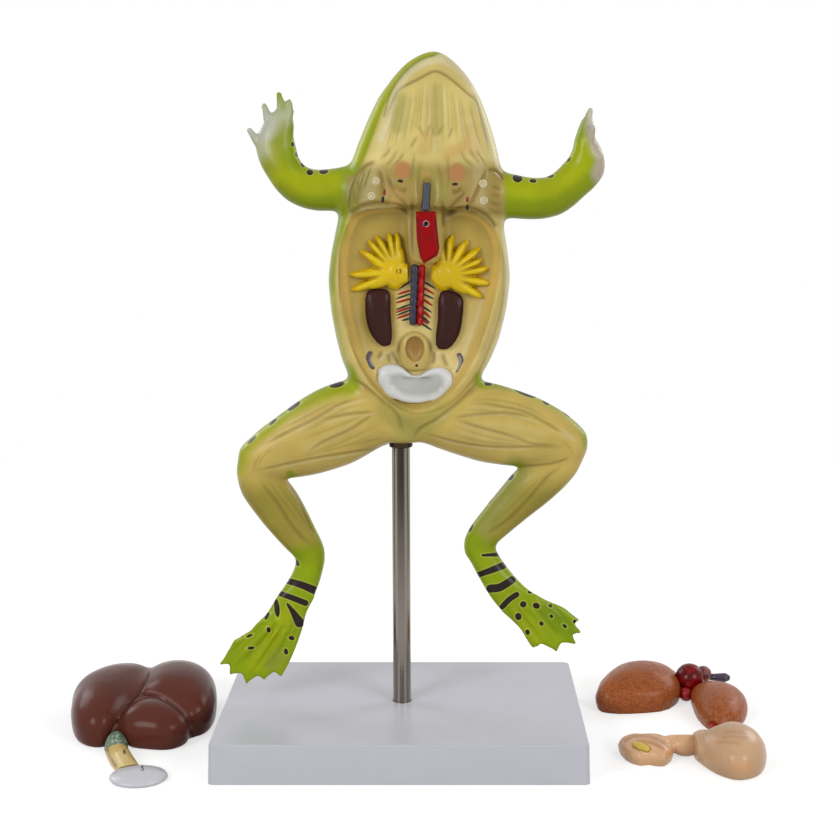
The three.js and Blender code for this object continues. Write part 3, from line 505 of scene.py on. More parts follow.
# Frog skin: trunk and limbs are shaped as one form, then parted again where the limbs join
skin = {
    "voxel": 0.8,
    "reach": 4.5,  # facets smaller than this are evened out
    "reachCavity": 0.9,
    "bowlReach": 4.0,  # rounds the corner between the floor and the wall of the cavity
    "creaseShade": 0.16,  # how much creases darken the paint in them
    "overlap": 0.9,  # the limbs are lengthened this much into the trunk before the forms are joined
    "armShift": 2.0,  # the arms are cut this much further out than the solids
    "slotWall": 1.6,
    "slotSunk": 2.4,
    "slotDeep": 5.0,
    "limbs": {"left_arm": (1, 0, 0), "right_arm": (-1, 0, 0), "left_leg": (41, 0, 18), "right_leg": (-41, 0, 28)},
    "armsAbove": 0.285,  # metres up: faces beyond a cut belong to an arm from here, and to a leg below the next
    "legsBelow": 0.22,
}
# Parts of the form in metres of the frame, each from the start to the end of its soft edge
zones = {
    "openFront": (-0.0245, -0.0215), "openFoot": 0.188, "openMiddle": 0.011, "openHalf": 0.046,
    "hands": (0.322, 0.334), "handsMiddle": 0.015, "handsOut": 0.06, "feet": (0.066, 0.086),
    "bore": (0.0085, 0.012), "boreTop": 0.208, "limbEnds": 0.94,
    "bowlFront": (-0.0195, -0.0165), "bowlFloor": (-0.006, -0.004), "bowlTop": 0.285, "bowlSoft": 0.01,
    "keelMiddle": 0.0105, "keelSide": (0.014, 0.018),
    "cavityFront": (-0.024, -0.012), "cavityFoot": (0.190, 0.196), "cavityMiddle": {0: 0.0105, 2: 0.255},
    "cavityReach": 0.03, "back": (-0.004, 0.002),
}


def cutPlane(node):
    direction = Vector(skin["limbs"][node]).normalized()
    reach = max(direction.dot(v.co) for v in frame["nodes"][node].data.vertices)
    return direction, reach


def makeSkinForm():
    bm = bmesh.new()
    bm.from_mesh(frame["nodes"]["torso"].data)
    for node in skin["limbs"]:
        direction, reach = cutPlane(node)
        bm.from_mesh(frame["nodes"][node].data)
        bm.verts.ensure_lookup_table()
        count = len(frame["nodes"][node].data.vertices)
        for vertex in list(bm.verts)[-count:]:
            if direction.dot(vertex.co) > reach - 0.05 * mm:
                vertex.co += direction * skin["overlap"] * mm
    # closes the slot around the throat vein to just under its face
    low, high = (Vector(corner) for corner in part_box("throat_vein"))
    wall, sunk, deep = skin["slotWall"] * mm, skin["slotSunk"] * mm, skin["slotDeep"] * mm
    size = Vector((high.x - low.x + 2 * wall, deep, high.z - low.z + 2 * wall))
    middle = Vector(((low.x + high.x) / 2, low.y + sunk + deep / 2, (low.z + high.z) / 2))
    bmesh.ops.create_cube(bm, size=1, matrix=Matrix.Translation(middle) @ Matrix.Diagonal((*size, 1)))
    bmesh.ops.remove_doubles(bm, verts=bm.verts, dist=weld)
    form = newObject("frog_skin", bm)
    remesh(form, skin["voxel"])
    return form


# A set of strokes in the picture: their width in pixels, depth in millimetres (raised if below zero), how much
# they are tinted (painted shade in pressed strokes, mostly a painted highlight on raised ones), and over which
# share of their length the ends fade
def strokeSet(wide, deep, tint, *strokes, fade=0.15):
    return {"wide": wide, "deep": deep, "tint": tint, "fade": fade, "strokes": strokes}


# Rounds the form, less in the cavity and at its ends, and then the bowl of the cavity by itself
def roundSkin(form):
    across, depth, height = readPoints(form.data).T
    opened = smoothStep(depth, *zones["openFront"]) * (height > zones["openFoot"]) * (depth < 0)
    opened *= np.abs(across - zones["openMiddle"]) < zones["openHalf"]
    hands = smoothStep(height, *zones["hands"]) * (np.abs(across - zones["handsMiddle"]) > zones["handsOut"])
    feet = 1 - smoothStep(height, *zones["feet"])
    bore = (1 - smoothStep(np.hypot(across, depth), *zones["bore"])) * (height < zones["boreTop"])
    ends = zones["limbEnds"]
    kept = np.maximum.reduce([opened * (1 - skin["reachCavity"]), ends * hands, ends * feet, bore])
    relax(form, skin["voxel"], skin["reach"], (1 - kept)[:, None])
    across, depth, height = readPoints(form.data).T
    bowl = opened * smoothStep(depth, *zones["bowlFront"]) * (1 - smoothStep(depth, *zones["bowlFloor"]))
    beside = smoothStep(np.abs(across - zones["keelMiddle"]), *zones["keelSide"])
    bowl *= beside * smoothStep(zones["bowlTop"] - height, 0, zones["bowlSoft"])
    relax(form, skin["voxel"], skin["bowlReach"], bowl[:, None], putBack=False)


# Creases cut into the front. Their tint is painted shade.
creases = {
    "jaw": strokeSet(1.1, 0.55, 0.6,
        [(383, 126), (390, 106), (397, 91.5), (404, 86), (417, 79.5), (430, 72.5), (436, 71.3), (442, 73), (450, 78),
         (461, 87), (469, 94), (476, 101), (482, 121), (487, 141), (491, 158)], fade=0.12),
    "throat": strokeSet(0.9, 0.2, 0.27,
        [(396, 100), (391, 124), (384, 140)], [(403, 92), (397, 120), (391, 146)],
        [(420, 82), (418, 112), (414, 138)], [(435, 75), (434, 108), (434, 142)], [(449, 82), (452, 110), (453, 136)],
        [(460, 90), (464, 118), (470, 148)], [(430, 77), (429, 100), (428, 128)], [(400, 97), (394, 122), (386, 150)],
        [(406, 90), (401, 118), (394, 150)], [(412, 86), (409, 112), (402, 148)], [(417, 84), (415, 110), (409, 140)],
        [(423, 80), (421, 110), (418, 138)], [(428, 78), (427, 105), (425, 150)], [(433, 76), (432, 110), (431, 160)],
        [(437, 76), (437, 110), (437, 158)], [(441, 77), (442, 105), (443, 150)], [(446, 80), (448, 110), (449, 140)],
        [(452, 84), (455, 112), (457, 144)], [(457, 88), (461, 118), (465, 150)], [(469, 99), (475, 126), (482, 152)],
        fade=0.3),
    "throatFolds": strokeSet(1.2, 0.36, 0.4,
        [(417, 121), (421, 131), (425, 139)], [(425, 139), (428, 130), (431, 122)],
        [(436, 139), (433, 131), (432, 124)], [(436, 139), (440, 131), (445, 123)],
        [(409, 150), (414, 142), (419, 134)], [(447, 141), (451, 131), (454, 124)],
        [(392, 145), (388, 152), (380, 160)], [(399, 148), (393, 158), (384, 168)],
        [(406, 150), (399, 160), (391, 168)], [(459, 147), (464, 158), (474, 168)],
        [(466, 146), (474, 156), (482, 166)], [(474, 148), (481, 156), (488, 166)],
        [(415, 150), (413, 165), (410, 185)], [(447, 150), (448, 165), (449, 190)],
        [(421, 160), (419, 175), (418, 195)], [(436, 160), (441, 178), (442, 196)], fade=0.35),
    "chest": strokeSet(1.7, 0.7, 0.6,
        [(386, 172), (392, 186), (397, 195), (405, 205), (408, 212)],
        [(465, 187), (462, 195), (455, 203), (447, 213)], [(379, 168), (383, 184), (383, 203)],
        [(393, 185), (400, 190), (409, 190)], [(450, 190), (456, 192), (463, 187)],
        [(413, 192), (412, 215), (412, 240), (413, 262)], [(440, 196), (444, 214), (443, 232)], fade=0.25),
    "lobes": strokeSet(2.0, 0.9, 0.75,
        [(347, 216), (354, 210), (364, 205.5), (377, 203), (390, 204), (401, 207), (408, 215)],
        [(446, 217), (455, 210), (467, 208.5), (478, 211), (490, 219), (498, 230)], fade=0.1),
    "rimLine": strokeSet(1.1, 0.3, 0.3,
        [(351.5, 218), (341, 245), (339.7, 273), (341, 302), (348.7, 336.5), (362, 367), (383, 394), (406, 411),
         (427, 413), (450, 403.4), (473, 380.5), (488, 350), (498, 321), (503.5, 292.5), (504.5, 264), (498, 237)],
        fade=0.1),
    "floorFolds": strokeSet(1.6, 0.45, 0.55,
        [(391, 349), (394, 357), (400, 366)], [(388, 352), (389, 358), (390, 364)],
        [(382, 350), (380, 356), (377, 360)], [(433, 349), (434, 358), (432, 366)],
        [(443, 352), (444, 360), (448, 368)], [(404, 334), (400, 345), (399, 356)],
        [(427, 336), (430, 346), (430, 356)], fade=0.3),
    "plateEdges": strokeSet(1.3, 0.6, 0.6,
        [(377, 161), (366, 165), (357, 174), (351, 186), (348, 200), (349, 212)],
        [(488, 169), (481, 183), (473, 199), (469, 210), (480, 213), (495, 216)],
        [(488, 169), (497, 172), (504, 180)], fade=0.12),
    "plateRibs": strokeSet(1.1, 0.35, 0.4,
        [(371, 165), (366, 178), (362, 190)], [(364, 171), (360, 184), (358, 196)],
        [(358, 179), (357, 190), (357, 203)], [(353, 188), (354, 198), (358, 209)],
        [(491, 186), (497, 188), (503, 188)], [(490, 193), (497, 196), (503, 196)],
        [(489, 201), (496, 204), (503, 204)], [(488, 208), (495, 212), (502, 212)], fade=0.3),
    "pelvis": strokeSet(1.8, 1.0, 0.45,
        [(352, 379), (366, 388), (384, 402), (397, 416), (403, 436)],
        [(482, 381), (470, 392), (453, 407), (437, 420), (420, 430), (414, 441)]),
    "leftThigh": strokeSet(1.2, 0.6, 0.42,
        [(365, 397.5), (340.6, 403.7), (316, 418), (291.6, 430), (262, 444)],
        [(377, 412), (358, 413), (340.6, 415.3), (318, 421)], [(377, 412), (350.8, 429), (324, 441.4), (306, 453)],
        [(390, 443), (372, 449), (353, 452.6), (308, 459.8), (271, 468), (249, 472)], fade=0.2),
    "rightThigh": strokeSet(1.2, 0.6, 0.42,
        [(475.5, 401.6), (498, 405.7), (522.4, 410.8), (543, 421), (568, 436)],
        [(448, 419), (477.5, 414.5), (510, 413), (538, 419)],
        [(451, 419), (481.6, 428), (514.3, 437.3), (535, 444.5), (567, 446.5)],
        [(420.4, 433), (461, 443.5), (498, 447.5), (543, 447), (570, 449)],
        [(514, 468), (537, 466), (556, 463), (573, 457)], fade=0.2),
    "shanks": strokeSet(1.5, 0.65, 0.42,
        [(259, 478), (267, 490), (277.3, 502.7), (291.6, 525), (306, 541), (317, 546)],
        [(286, 480), (297, 496), (306, 517), (317, 540)],
        [(566, 464), (551, 474), (540, 485), (526, 502), (508, 520), (490, 532), (474, 540)], fade=0.2),
    "strands": strokeSet(0.9, 0.16, 0.24,
        [(372, 403), (345, 409), (318, 424), (296, 436)], [(380, 404), (352, 420), (322, 432), (292, 442)],
        [(384, 421), (356, 436), (330, 447), (300, 455)], [(383, 430), (352, 444), (318, 453), (280, 461)],
        [(350, 397), (322, 408), (296, 421), (272, 434)], [(388, 437), (366, 442), (344, 449)],
        [(262, 452), (256, 462), (252, 474)], [(275, 446), (262, 458), (258, 470)],
        [(456, 404), (485, 404), (515, 409), (545, 424)], [(452, 411), (480, 410), (512, 416), (548, 430)],
        [(447, 424), (478, 434), (512, 441), (552, 443)], [(440, 428), (470, 439), (505, 444), (545, 445)],
        [(462, 400), (495, 400), (525, 407), (556, 424)], [(560, 440), (568, 446), (574, 456)],
        [(262, 470), (275, 490), (292, 512), (306, 530)], [(270, 472), (284, 492), (300, 514), (312, 534)],
        [(558, 470), (540, 488), (520, 508), (498, 526)], [(550, 468), (530, 488), (508, 510), (484, 532)],
        fade=0.35),
    "feet": strokeSet(1.5, 0.6, 0.5,
        [(270, 618), (252, 634), (236, 648), (226, 658)], [(279, 622), (262, 642), (242, 664)],
        [(286, 622), (272, 644), (254, 671)], [(293, 624), (281, 648), (262, 672)],
        [(298, 600), (294, 622), (283, 646)], [(502, 602), (514, 622), (527, 643)],
        [(512, 602), (528, 624), (545, 646)], [(524, 600), (542, 616), (560, 640)],
        [(532, 597), (554, 608), (576, 632)], [(536, 592), (560, 602), (580, 614)], fade=0.2),
}
# Raised strokes on the front. Their tint is a painted highlight.
ridges = {
    "toes": strokeSet(2.0, -0.5, 0.0,
        [(274, 612), (252, 628), (232, 642), (222, 660)], [(280, 616), (260, 636), (238, 660), (230, 670)],
        [(286, 618), (270, 640), (254, 664), (244, 678)], [(292, 618), (284, 642), (266, 668)],
        [(300, 612), (298, 636), (288, 664), (280, 676)], [(498, 600), (508, 618), (524, 638), (530, 646)],
        [(508, 600), (522, 622), (538, 646), (546, 650)], [(518, 600), (536, 616), (556, 640)],
        [(530, 596), (550, 608), (572, 630), (578, 642)], [(536, 592), (560, 602), (578, 614)]),
    "lobeRims": strokeSet(1.7, -0.6, 0.22,
        [(350, 219), (358, 212), (368, 208.5), (382, 207.5), (396, 208.5), (405, 213), (409, 224), (411, 244),
         (412, 262)],
        [(443, 238), (444, 226), (448, 218), (456, 213), (466, 212), (478, 214.5), (488, 221), (497, 233)]),
    "throatLights": strokeSet(1.2, -0.18, 0.3,
        [(408, 94), (404, 118), (398, 142)], [(430, 82), (429, 106), (427, 132)], [(444, 84), (446, 108), (448, 132)],
        [(456, 94), (460, 118), (464, 138)], [(421, 132), (424, 142), (428, 152)],
        [(440, 130), (437, 142), (434, 154)], [(396, 110), (390, 132), (384, 150)],
        [(470, 112), (476, 134), (482, 150)]),
    "thighLights": strokeSet(1.2, -0.15, 0.25,
        [(374, 399), (340, 406), (312, 421), (284, 435)], [(378, 414), (345, 418), (320, 426)],
        [(389, 445), (352, 455), (308, 462), (268, 470)], [(458, 417), (500, 414.5), (538, 422)],
        [(452, 422), (490, 432), (530, 441)], [(430, 437), (480, 448), (540, 449)]),
    "lip": strokeSet(3.2, -0.35, 0.12,
        [(388, 100), (396, 84), (408, 72), (422, 62), (436, 58), (449, 64), (462, 76), (474, 90), (483, 106)]),
    "floorRidges": strokeSet(2.0, -0.6, 0.35,
        [(387, 350), (391, 358), (396, 367)], [(385, 351), (383, 358), (381, 363)],
        [(440, 351), (437, 358), (436, 366)], [(446, 354), (449, 362), (452, 369)]),
    "midline": strokeSet(4.0, -0.5, 0.1,
        [(427, 180), (427, 205), (430, 262)]),
    "leftThighBellies": strokeSet(5.0, -0.45, 0.1,
        [(362, 405), (330, 415), (295, 433)], [(360, 423), (335, 436), (300, 452)],
        [(370, 392), (338, 397), (300, 412), (265, 434)]),
    "rightThighBellies": strokeSet(5.0, -0.45, 0.1,
        [(463, 409), (505, 409), (540, 416)], [(465, 423), (510, 427), (550, 438)],
        [(450, 430), (500, 441), (545, 443)]),
}

# crease is painted shade in creases, pale also serves as the painted highlight on raised strokes, wall is a lighter
# paint on the cavity walls that cancels their shade, and the darker green under the arms is painted shade
paints = {
    "cream": (198, 178, 106), "throat": (205, 186, 112), "chest": (155, 134, 70), "cavity": (172, 148, 72),
    "cavityLow": (214, 194, 126), "wall": (214, 182, 100), "thigh": (186, 161, 80), "shank": (152, 138, 54),
    "tan": (190, 150, 84), "crease": (112, 88, 30), "pale": (208, 202, 168), "green": (130, 148, 0),
    "deepGreen": (84, 116, 0), "lime": (158, 164, 0), "undersideShade": (116, 120, 0), "foot": (134, 154, 0),
    "white": (180, 182, 164), "blush": (174, 160, 146), "moss": (142, 142, 66), "pink": (172, 118, 72),
    "mark": (34, 22, 18), "ring": (184, 192, 74),
}

# How strongly some paints cover what lies under them
cover = {"cavityLow": 0.9, "wall": 0.9, "thigh": 0.8, "fold": 0.7}
# Where paints start and end down or across the picture, in pixels, or over how far a face turns to the camera
regions = {
    "throat": (75, 95), "throatEnd": (-175, -160), "chest": (156, 172), "chestEnd": (212, 222),
    "cavityRim": (-1.5, 3), "cavityLow": (290, 380), "cavityLean": 0.5, "cavityAxis": 420,
    "wallInward": (0.05, 0.4), "wallSteep": (-0.93, -0.6), "legs": (372, 392), "shanks": (466, 500),
    "leftArm": (340, 352), "rightArm": (502, 508), "armsEnd": (224, 252), "front": (-0.02, 0.2),
    "facing": (0.0, 0.2), "behind": (0.1, 0.3), "marks": -0.15,
    "top": [(490, 219), (467, 208), (446, 216), (427, 214), (408, 214), (390, 204), (364, 205)],  # of the cavity
}

# Airbrush strokes over the cream front: (colour, widest reach in pixels, softness in pixels, strength, stroke)
# The pale strokes along the head and trunk are partly pale paint and partly painted highlight; the crease stroke down
# the left of the head is painted shade.
airbrush = [
    ("green", 7, 5, 1.0, [(434, 46), (413, 56), (394, 74), (377, 100), (366, 128), (357, 152), (350, 166)]),
    ("lime", 3, 5, 0.9, [(430, 51), (409, 61), (392, 80), (376, 106), (364, 136), (355, 158)]),
    ("pale", 2, 4, 0.5, [(438, 59), (424, 63), (408, 74), (395, 94), (387, 122), (381, 138)]),
    ("crease", 0.4, 1.2, 0.5, [(434, 55), (420, 60), (404, 73), (391, 92), (384, 116)]),
    ("pale", 4, 6, 0.45, [(446, 58), (462, 68), (476, 88), (486, 112), (493, 140), (496, 156)]),
    ("green", 2, 4, 0.9, [(436, 46), (462, 58), (481, 82), (494, 116), (504, 156), (507, 172)]),
    ("moss", 3, 8, 0.45, [(401, 100), (398, 126)]), ("moss", 2, 6, 0.4, [(437, 88), (438, 130)]),
    ("tan", 2, 8, 0.5, [(448, 156), (466, 144)]), ("tan", 2, 8, 0.4, [(426, 138), (424, 150)]),
    ("tan", 2, 7, 0.4, [(397, 192), (396, 204)]), ("tan", 3, 8, 0.35, [(470, 130), (474, 150)]),
    ("moss", 4, 12, 0.35, [(420, 172), (432, 180), (440, 196)]), ("moss", 4, 10, 0.4, [(352, 200), (366, 176)]),
    ("pink", 6, 4, 0.85, [(402.8, 169), (402.8, 171)]), ("pink", 6, 4, 0.85, [(457.2, 171), (457.2, 174)]),
    ("tan", 2, 5, 0.4, [(424.5, 175), (426, 175)]), ("cavityLow", 14, 8, 0.7, [(415, 292), (415, 335)]),
    ("green", 3, 6, 0.9, [(341, 212), (334, 236), (330, 262), (328, 290)]),
    ("green", 3, 6, 0.6, [(328, 280), (331, 310), (336, 340), (342, 364)]),
    ("green", 6, 7, 0.9, [(345, 372), (350, 384), (340, 383), (300, 398), (268, 420), (240, 444), (231, 468)]),
    ("lime", 3, 8, 0.5, [(352, 390), (320, 398), (285, 415), (252, 442), (240, 470)]),
    ("moss", 5, 9, 0.4, [(404, 428), (408, 437), (396, 444)]),
    ("moss", 6, 10, 0.4, [(388, 408), (404, 424), (424, 424), (440, 412)]),
    ("green", 2, 5, 0.8, [(230, 470), (238, 500), (252, 522), (270, 545), (290, 560)]),
    ("green", 2, 4, 0.8, [(290, 474), (302, 492), (314, 520), (324, 545)]),
    ("green", 13, 16, 1.0, [(300, 568), (318, 566), (330, 562)]),
    ("foot", 22, 8, 1.0, [(302, 590), (290, 606), (272, 630), (246, 662), (226, 672)]),
    ("foot", 22, 8, 1.0, [(304, 600), (300, 640), (284, 680)]),
    ("lime", 3, 9, 0.5, [(292, 610), (270, 640), (256, 664)]), ("moss", 4, 7, 0.4, [(272, 664), (282, 655)]),
    ("green", 5, 7, 0.9, [(482, 380), (500, 380), (530, 388), (562, 404), (586, 426), (594, 448)]),
    ("green", 2, 5, 0.8, [(594, 446), (580, 476), (556, 502), (524, 526), (502, 544)]),
    ("moss", 7, 14, 0.8, [(516, 472), (502, 492), (486, 516), (474, 534)]),
    ("green", 2, 5, 0.8, [(518, 466), (500, 484), (482, 510), (468, 530)]),
    ("green", 13, 14, 1.0, [(468, 550), (482, 564), (500, 558)]),
    ("foot", 22, 8, 1.0, [(484, 580), (500, 590), (530, 612), (570, 634)]),
    ("foot", 22, 8, 1.0, [(484, 584), (510, 610), (540, 650)]),
    ("deepGreen", 4, 10, 0.45, [(548, 610), (572, 634)]), ("lime", 3, 8, 0.4, [(516, 612), (536, 636)]),
    ("green", 2, 4, 0.8, [(509, 222), (511, 250), (512, 280)]),
    ("pale", 2, 4, 0.5, [(505, 232), (508, 262), (508, 300), (505, 326)]),
    ("moss", 3, 6, 0.4, [(507, 320), (500, 350), (486, 378)]),
]
# Strokes that go right round the arms. The lime along their tops is partly painted highlight, and the darker
# green under them painted shade.
wrapped = [
    ("lime", 6, 12, 0.7, [(262, 148), (276, 172), (300, 184), (330, 182)]),
    ("undersideShade", 4, 12, 0.4, [(284, 192), (300, 206), (330, 208), (350, 206)]),
    ("white", 10, 12, 0.95, [(248, 118), (262, 126)]), ("white", 4, 14, 0.7, [(255, 138), (259, 150)]),
    ("white", 6, 15, 0.65, [(262, 104), (270, 118), (284, 112)]),
    ("moss", 3, 12, 0.45, [(283, 130), (277, 146), (268, 164)]),
    ("green", 1, 5, 0.7, [(295, 104), (297, 118), (294, 140), (297, 152)]),
    ("green", 2, 5, 0.5, [(277, 90), (283, 106)]),
    ("lime", 6, 12, 0.7, [(516, 186), (546, 186), (574, 170), (582, 150)]),
    ("undersideShade", 4, 12, 0.35, [(514, 210), (544, 212), (566, 204), (590, 182)]),
    ("blush", 7, 10, 0.9, [(598, 108), (597, 124), (601, 142), (608, 160), (604, 174)]),
    ("white", 3, 5, 0.8, [(592, 106), (595, 124)]),
]

# Dark marks: (across, down, half length, half width, turn in degrees)
frontMarks = [
    (336.9, 384.7, 7.5, 2.8, -12), (294, 406.1, 7.5, 2.4, -35), (272.9, 422.2, 5, 1.5, -40),
    (251.8, 440, 6, 1.5, -42), (234.5, 470, 4.5, 1.1, 90), (296.7, 562.4, 4.2, 2, 58),
    (276.9, 608, 9.5, 2.8, 84), (267, 616, 4.2, 2, -62), (268.6, 629.8, 3, 2.2, 80), (249.4, 635.7, 3.6, 1.4, -25),
    (250.8, 648, 3.8, 1.6, -5), (291.6, 638, 3.2, 2.3, 15), (286, 651.6, 3.3, 2.2, 75),
    (488.2, 383.9, 4, 2, 5), (524.5, 392.9, 12, 2.5, 22), (545.9, 402.7, 4, 1.7, 30), (566.3, 413.9, 5.5, 1.4, 38),
    (510.8, 477.1, 4, 2.5, -50), (489.8, 499.6, 5.2, 2.2, -58), (471, 528.2, 4.4, 1.6, -65),
    (523.3, 604.3, 3.4, 3.3, 0), (518.4, 616.5, 3.8, 3.3, 70), (536.3, 605.7, 3.8, 3, 25),
    (550.4, 605.7, 2.3, 1.8, 25), (551.4, 616.3, 2.3, 1.8, 60), (541.4, 623.5, 2.6, 2.2, 60),
    (564.7, 626.1, 3, 1.7, 42), (574.9, 621.6, 2.4, 2, 40), (527.6, 632.2, 3, 2.3, 75), (529.6, 592.4, 2.4, 1.2, 20),
    (323.7, 171.5, 4.6, 2.6, -6), (309.9, 172.4, 3.4, 3, 10), (302.8, 164.8, 2.7, 2, 60),
    (296.6, 154.4, 2.6, 1.9, 75), (292.7, 144.2, 2.6, 1.8, 85), (517.5, 178, 5, 4.4, 20), (533, 180.8, 3.6, 2.1, 5),
    (550.7, 176.3, 3.5, 1.4, -15), (569, 159.7, 3.4, 1.1, -52),
]
# Dark bands: (half width at the start, half width at the end, stroke)
frontBands = [
    (3.1, 4.1, [(288, 581), (301.8, 585), (314.5, 590.3)]), (2.8, 3.1, [(281, 593.8), (291.6, 597.6), (305.5, 603)]),
    (1.3, 5, [(287.5, 604), (293, 612), (299.5, 622.5)]), (1.3, 2.3, [(482.5, 555.3), (499, 554.4)]),
    (2.9, 3.7, [(479.5, 574.4), (491.8, 570), (503, 565.6)]), (4.2, 3.9, [(490.5, 588.6), (500, 587.3), (512, 580)]),
    (2.9, 2.9, [(502.4, 606.6), (509.2, 599.6), (516.6, 594.6)]),
]


# How pieces are shaped where they face the camera
shaping = {
    "facing": (0.05, 0.3),
    "shadeWider": 1.3,  # the painted shade of a crease is wider than the crease
    "hollowFacing": (0, 0.3),
    "hollowThins": 0.8,  # the painted shade in a hollow thins out downwards by this share
}


# Presses strokes into the front of a piece, or raises those of negative depth. Gives back how much painted shade
# darkens the pressed strokes and how much painted highlight brightens the raised ones.
def sculpt(piece, sets):
    here = look(piece)
    front = smoothStep(here["facing"], *shaping["facing"])
    press, lift, dark, pale = np.zeros((4, len(front)))
    for mark in sets.values():
        fade = mark["fade"]
        for stroke in mark["strokes"]:
            gap, along = strokeGap(here["seen"], curved(stroke))
            ends = smoothStep(along, 0, fade) * smoothStep(1 - along, 0, fade) if fade else 1
            share = np.exp(-((gap / mark["wide"]) ** 2)) * ends
            if mark["deep"] > 0:
                press = np.maximum(press, mark["deep"] * share)
                wider = mark["wide"] * shaping["shadeWider"]
                dark = np.maximum(dark, mark["tint"] * np.exp(-((gap / wider) ** 2)) * ends)
            else:
                lift = np.maximum(lift, -mark["deep"] * share)
                pale = np.maximum(pale, mark["tint"] * share)
    move = (lift - press) * front * mm
    writePoints(piece.data, here["points"] + here["normals"] * move[:, None])
    return dark * front, pale * front


def markGap(seen, facing):
    gap = np.full(len(seen), noMark)
    for across, down, long, short, turn in frontMarks:
        cos, sin = math.cos(math.radians(turn)), math.sin(math.radians(turn))
        dx, dy = seen[:, 0] - across, seen[:, 1] - down
        far = np.hypot((dx * cos + dy * sin) / long, (dy * cos - dx * sin) / short)
        gap = np.minimum(gap, (far - 1) * min(long, short) * shot["pixel"])
    for start, end, stroke in frontBands:
        near, along = strokeGap(seen, curved(stroke))
        gap = np.minimum(gap, (near - start - (end - start) * along) * shot["pixel"])
    return np.where(facing > regions["marks"], gap, noMark)


# Folds down the back and eardrums, in millimetres across and up
backLines = {
    "folds": [[(3, 341), (-6, 325), (-14, 300), (-17, 270), (-12, 240), (-2, 212)],
              [(29, 341), (34, 325), (38, 300), (40, 270), (36, 240), (26, 212)]],
    "drums": [(-9, 336), (39, 336)],
    "foldWide": 1.6,
    "foldHigh": 0.9,
    "foldEnds": (0.15, 0.25),
    "drumRadius": 4.2,
    "drumWide": 0.9,
    "drumHigh": 0.6,  # as a share of a fold
    "rear": (0.1, 0.4),  # how far faces look back before they carry them
}


def shapeBack(form):
    points, normals = readPoints(form.data), readNormals(form.data)
    flat = points[:, [0, 2]] / mm
    rear = smoothStep(normals[:, 1], *backLines["rear"])
    fold = np.zeros(len(flat))
    for line in backLines["folds"]:
        gap, along = strokeGap(flat, curved(line))
        first, last = backLines["foldEnds"]
        ends = smoothStep(along, 0, first) * smoothStep(1 - along, 0, last)
        fold = np.maximum(fold, np.exp(-((gap / backLines["foldWide"]) ** 2)) * ends)
    drum = np.zeros(len(flat))
    for middle in backLines["drums"]:
        gap = np.linalg.norm(flat - np.array(middle), axis=1) - backLines["drumRadius"]
        drum = np.maximum(drum, np.exp(-((gap / backLines["drumWide"]) ** 2)))
    raised = np.maximum(fold, backLines["drumHigh"] * drum) * rear
    writePoints(form.data, points + normals * (raised * backLines["foldHigh"] * mm)[:, None])
    return raised


def paintSkin(form, tint, highlight, raised):
    here = look(form)
    seen, points, facing = here["seen"], here["points"], here["facing"]
    across, down = seen.T
    toCamera = smoothStep(facing, *regions["facing"])
    throat = smoothStep(-down, *regions["throatEnd"]) * smoothStep(down, *regions["throat"])
    chest = smoothStep(down, *regions["chest"]) * (1 - smoothStep(down, *regions["chestEnd"]))
    inside = smoothStep(points[:, 1], *zones["cavityFront"]) * smoothStep(points[:, 2], *zones["cavityFoot"])
    rim = [*creases["rimLine"]["strokes"][0], *regions["top"]]
    inside *= 1 - smoothStep(outlineGap(seen, rim), *regions["cavityRim"])
    lower = smoothStep(down + regions["cavityLean"] * (across - regions["cavityAxis"]), *regions["cavityLow"])
    inward = np.zeros(len(seen))
    for axis, middle in zones["cavityMiddle"].items():
        inward -= here["normals"][:, axis] * (points[:, axis] - middle) / zones["cavityReach"]
    # Cavity walls that turn away from the camera get a lighter paint: painted light against their shade
    wall = smoothStep(inward, *regions["wallInward"]) * smoothStep(-facing, *regions["wallSteep"]) * toCamera
    arms = np.maximum(1 - smoothStep(across, *regions["leftArm"]), smoothStep(across, *regions["rightArm"]))
    arms *= 1 - smoothStep(down, *regions["armsEnd"])
    front = smoothStep(facing, *regions["front"])
    colours = np.tile(light(paints["cream"]), (len(seen), 1))
    # The crease paint is painted shade in the creases, and the pale paint over raised strokes a painted highlight
    for colour, mask in (
        ("throat", throat), ("chest", chest), ("cavity", inside * toCamera),
        ("cavityLow", inside * lower * cover["cavityLow"]), ("wall", inside * wall * cover["wall"]),
        ("thigh", smoothStep(down, *regions["legs"]) * cover["thigh"]),
        ("shank", smoothStep(down, *regions["shanks"])), ("pale", highlight), ("crease", tint),
        ("green", np.maximum(arms, 1 - front)),
    ):
        colours = layer(colours, paints[colour], mask)
    for stroke in airbrush + wrapped:
        colour, reach, soft, strength, line = stroke
        gap, _ = strokeGap(seen, curved(line), reach + soft)
        mask = strength * (1 - smoothStep(gap, reach, reach + soft))
        colours = layer(colours, paints[colour], mask if stroke in wrapped else mask * front)
    # Painted shade: creases darken every paint in them
    colours *= (1 - skin["creaseShade"] * tint)[:, None]
    colours = layer(colours, paints["moss"], cover["fold"] * raised)
    back = smoothStep(-facing, *regions["behind"]) * smoothStep(points[:, 1], *zones["back"])
    return colours, markGap(seen, facing), back


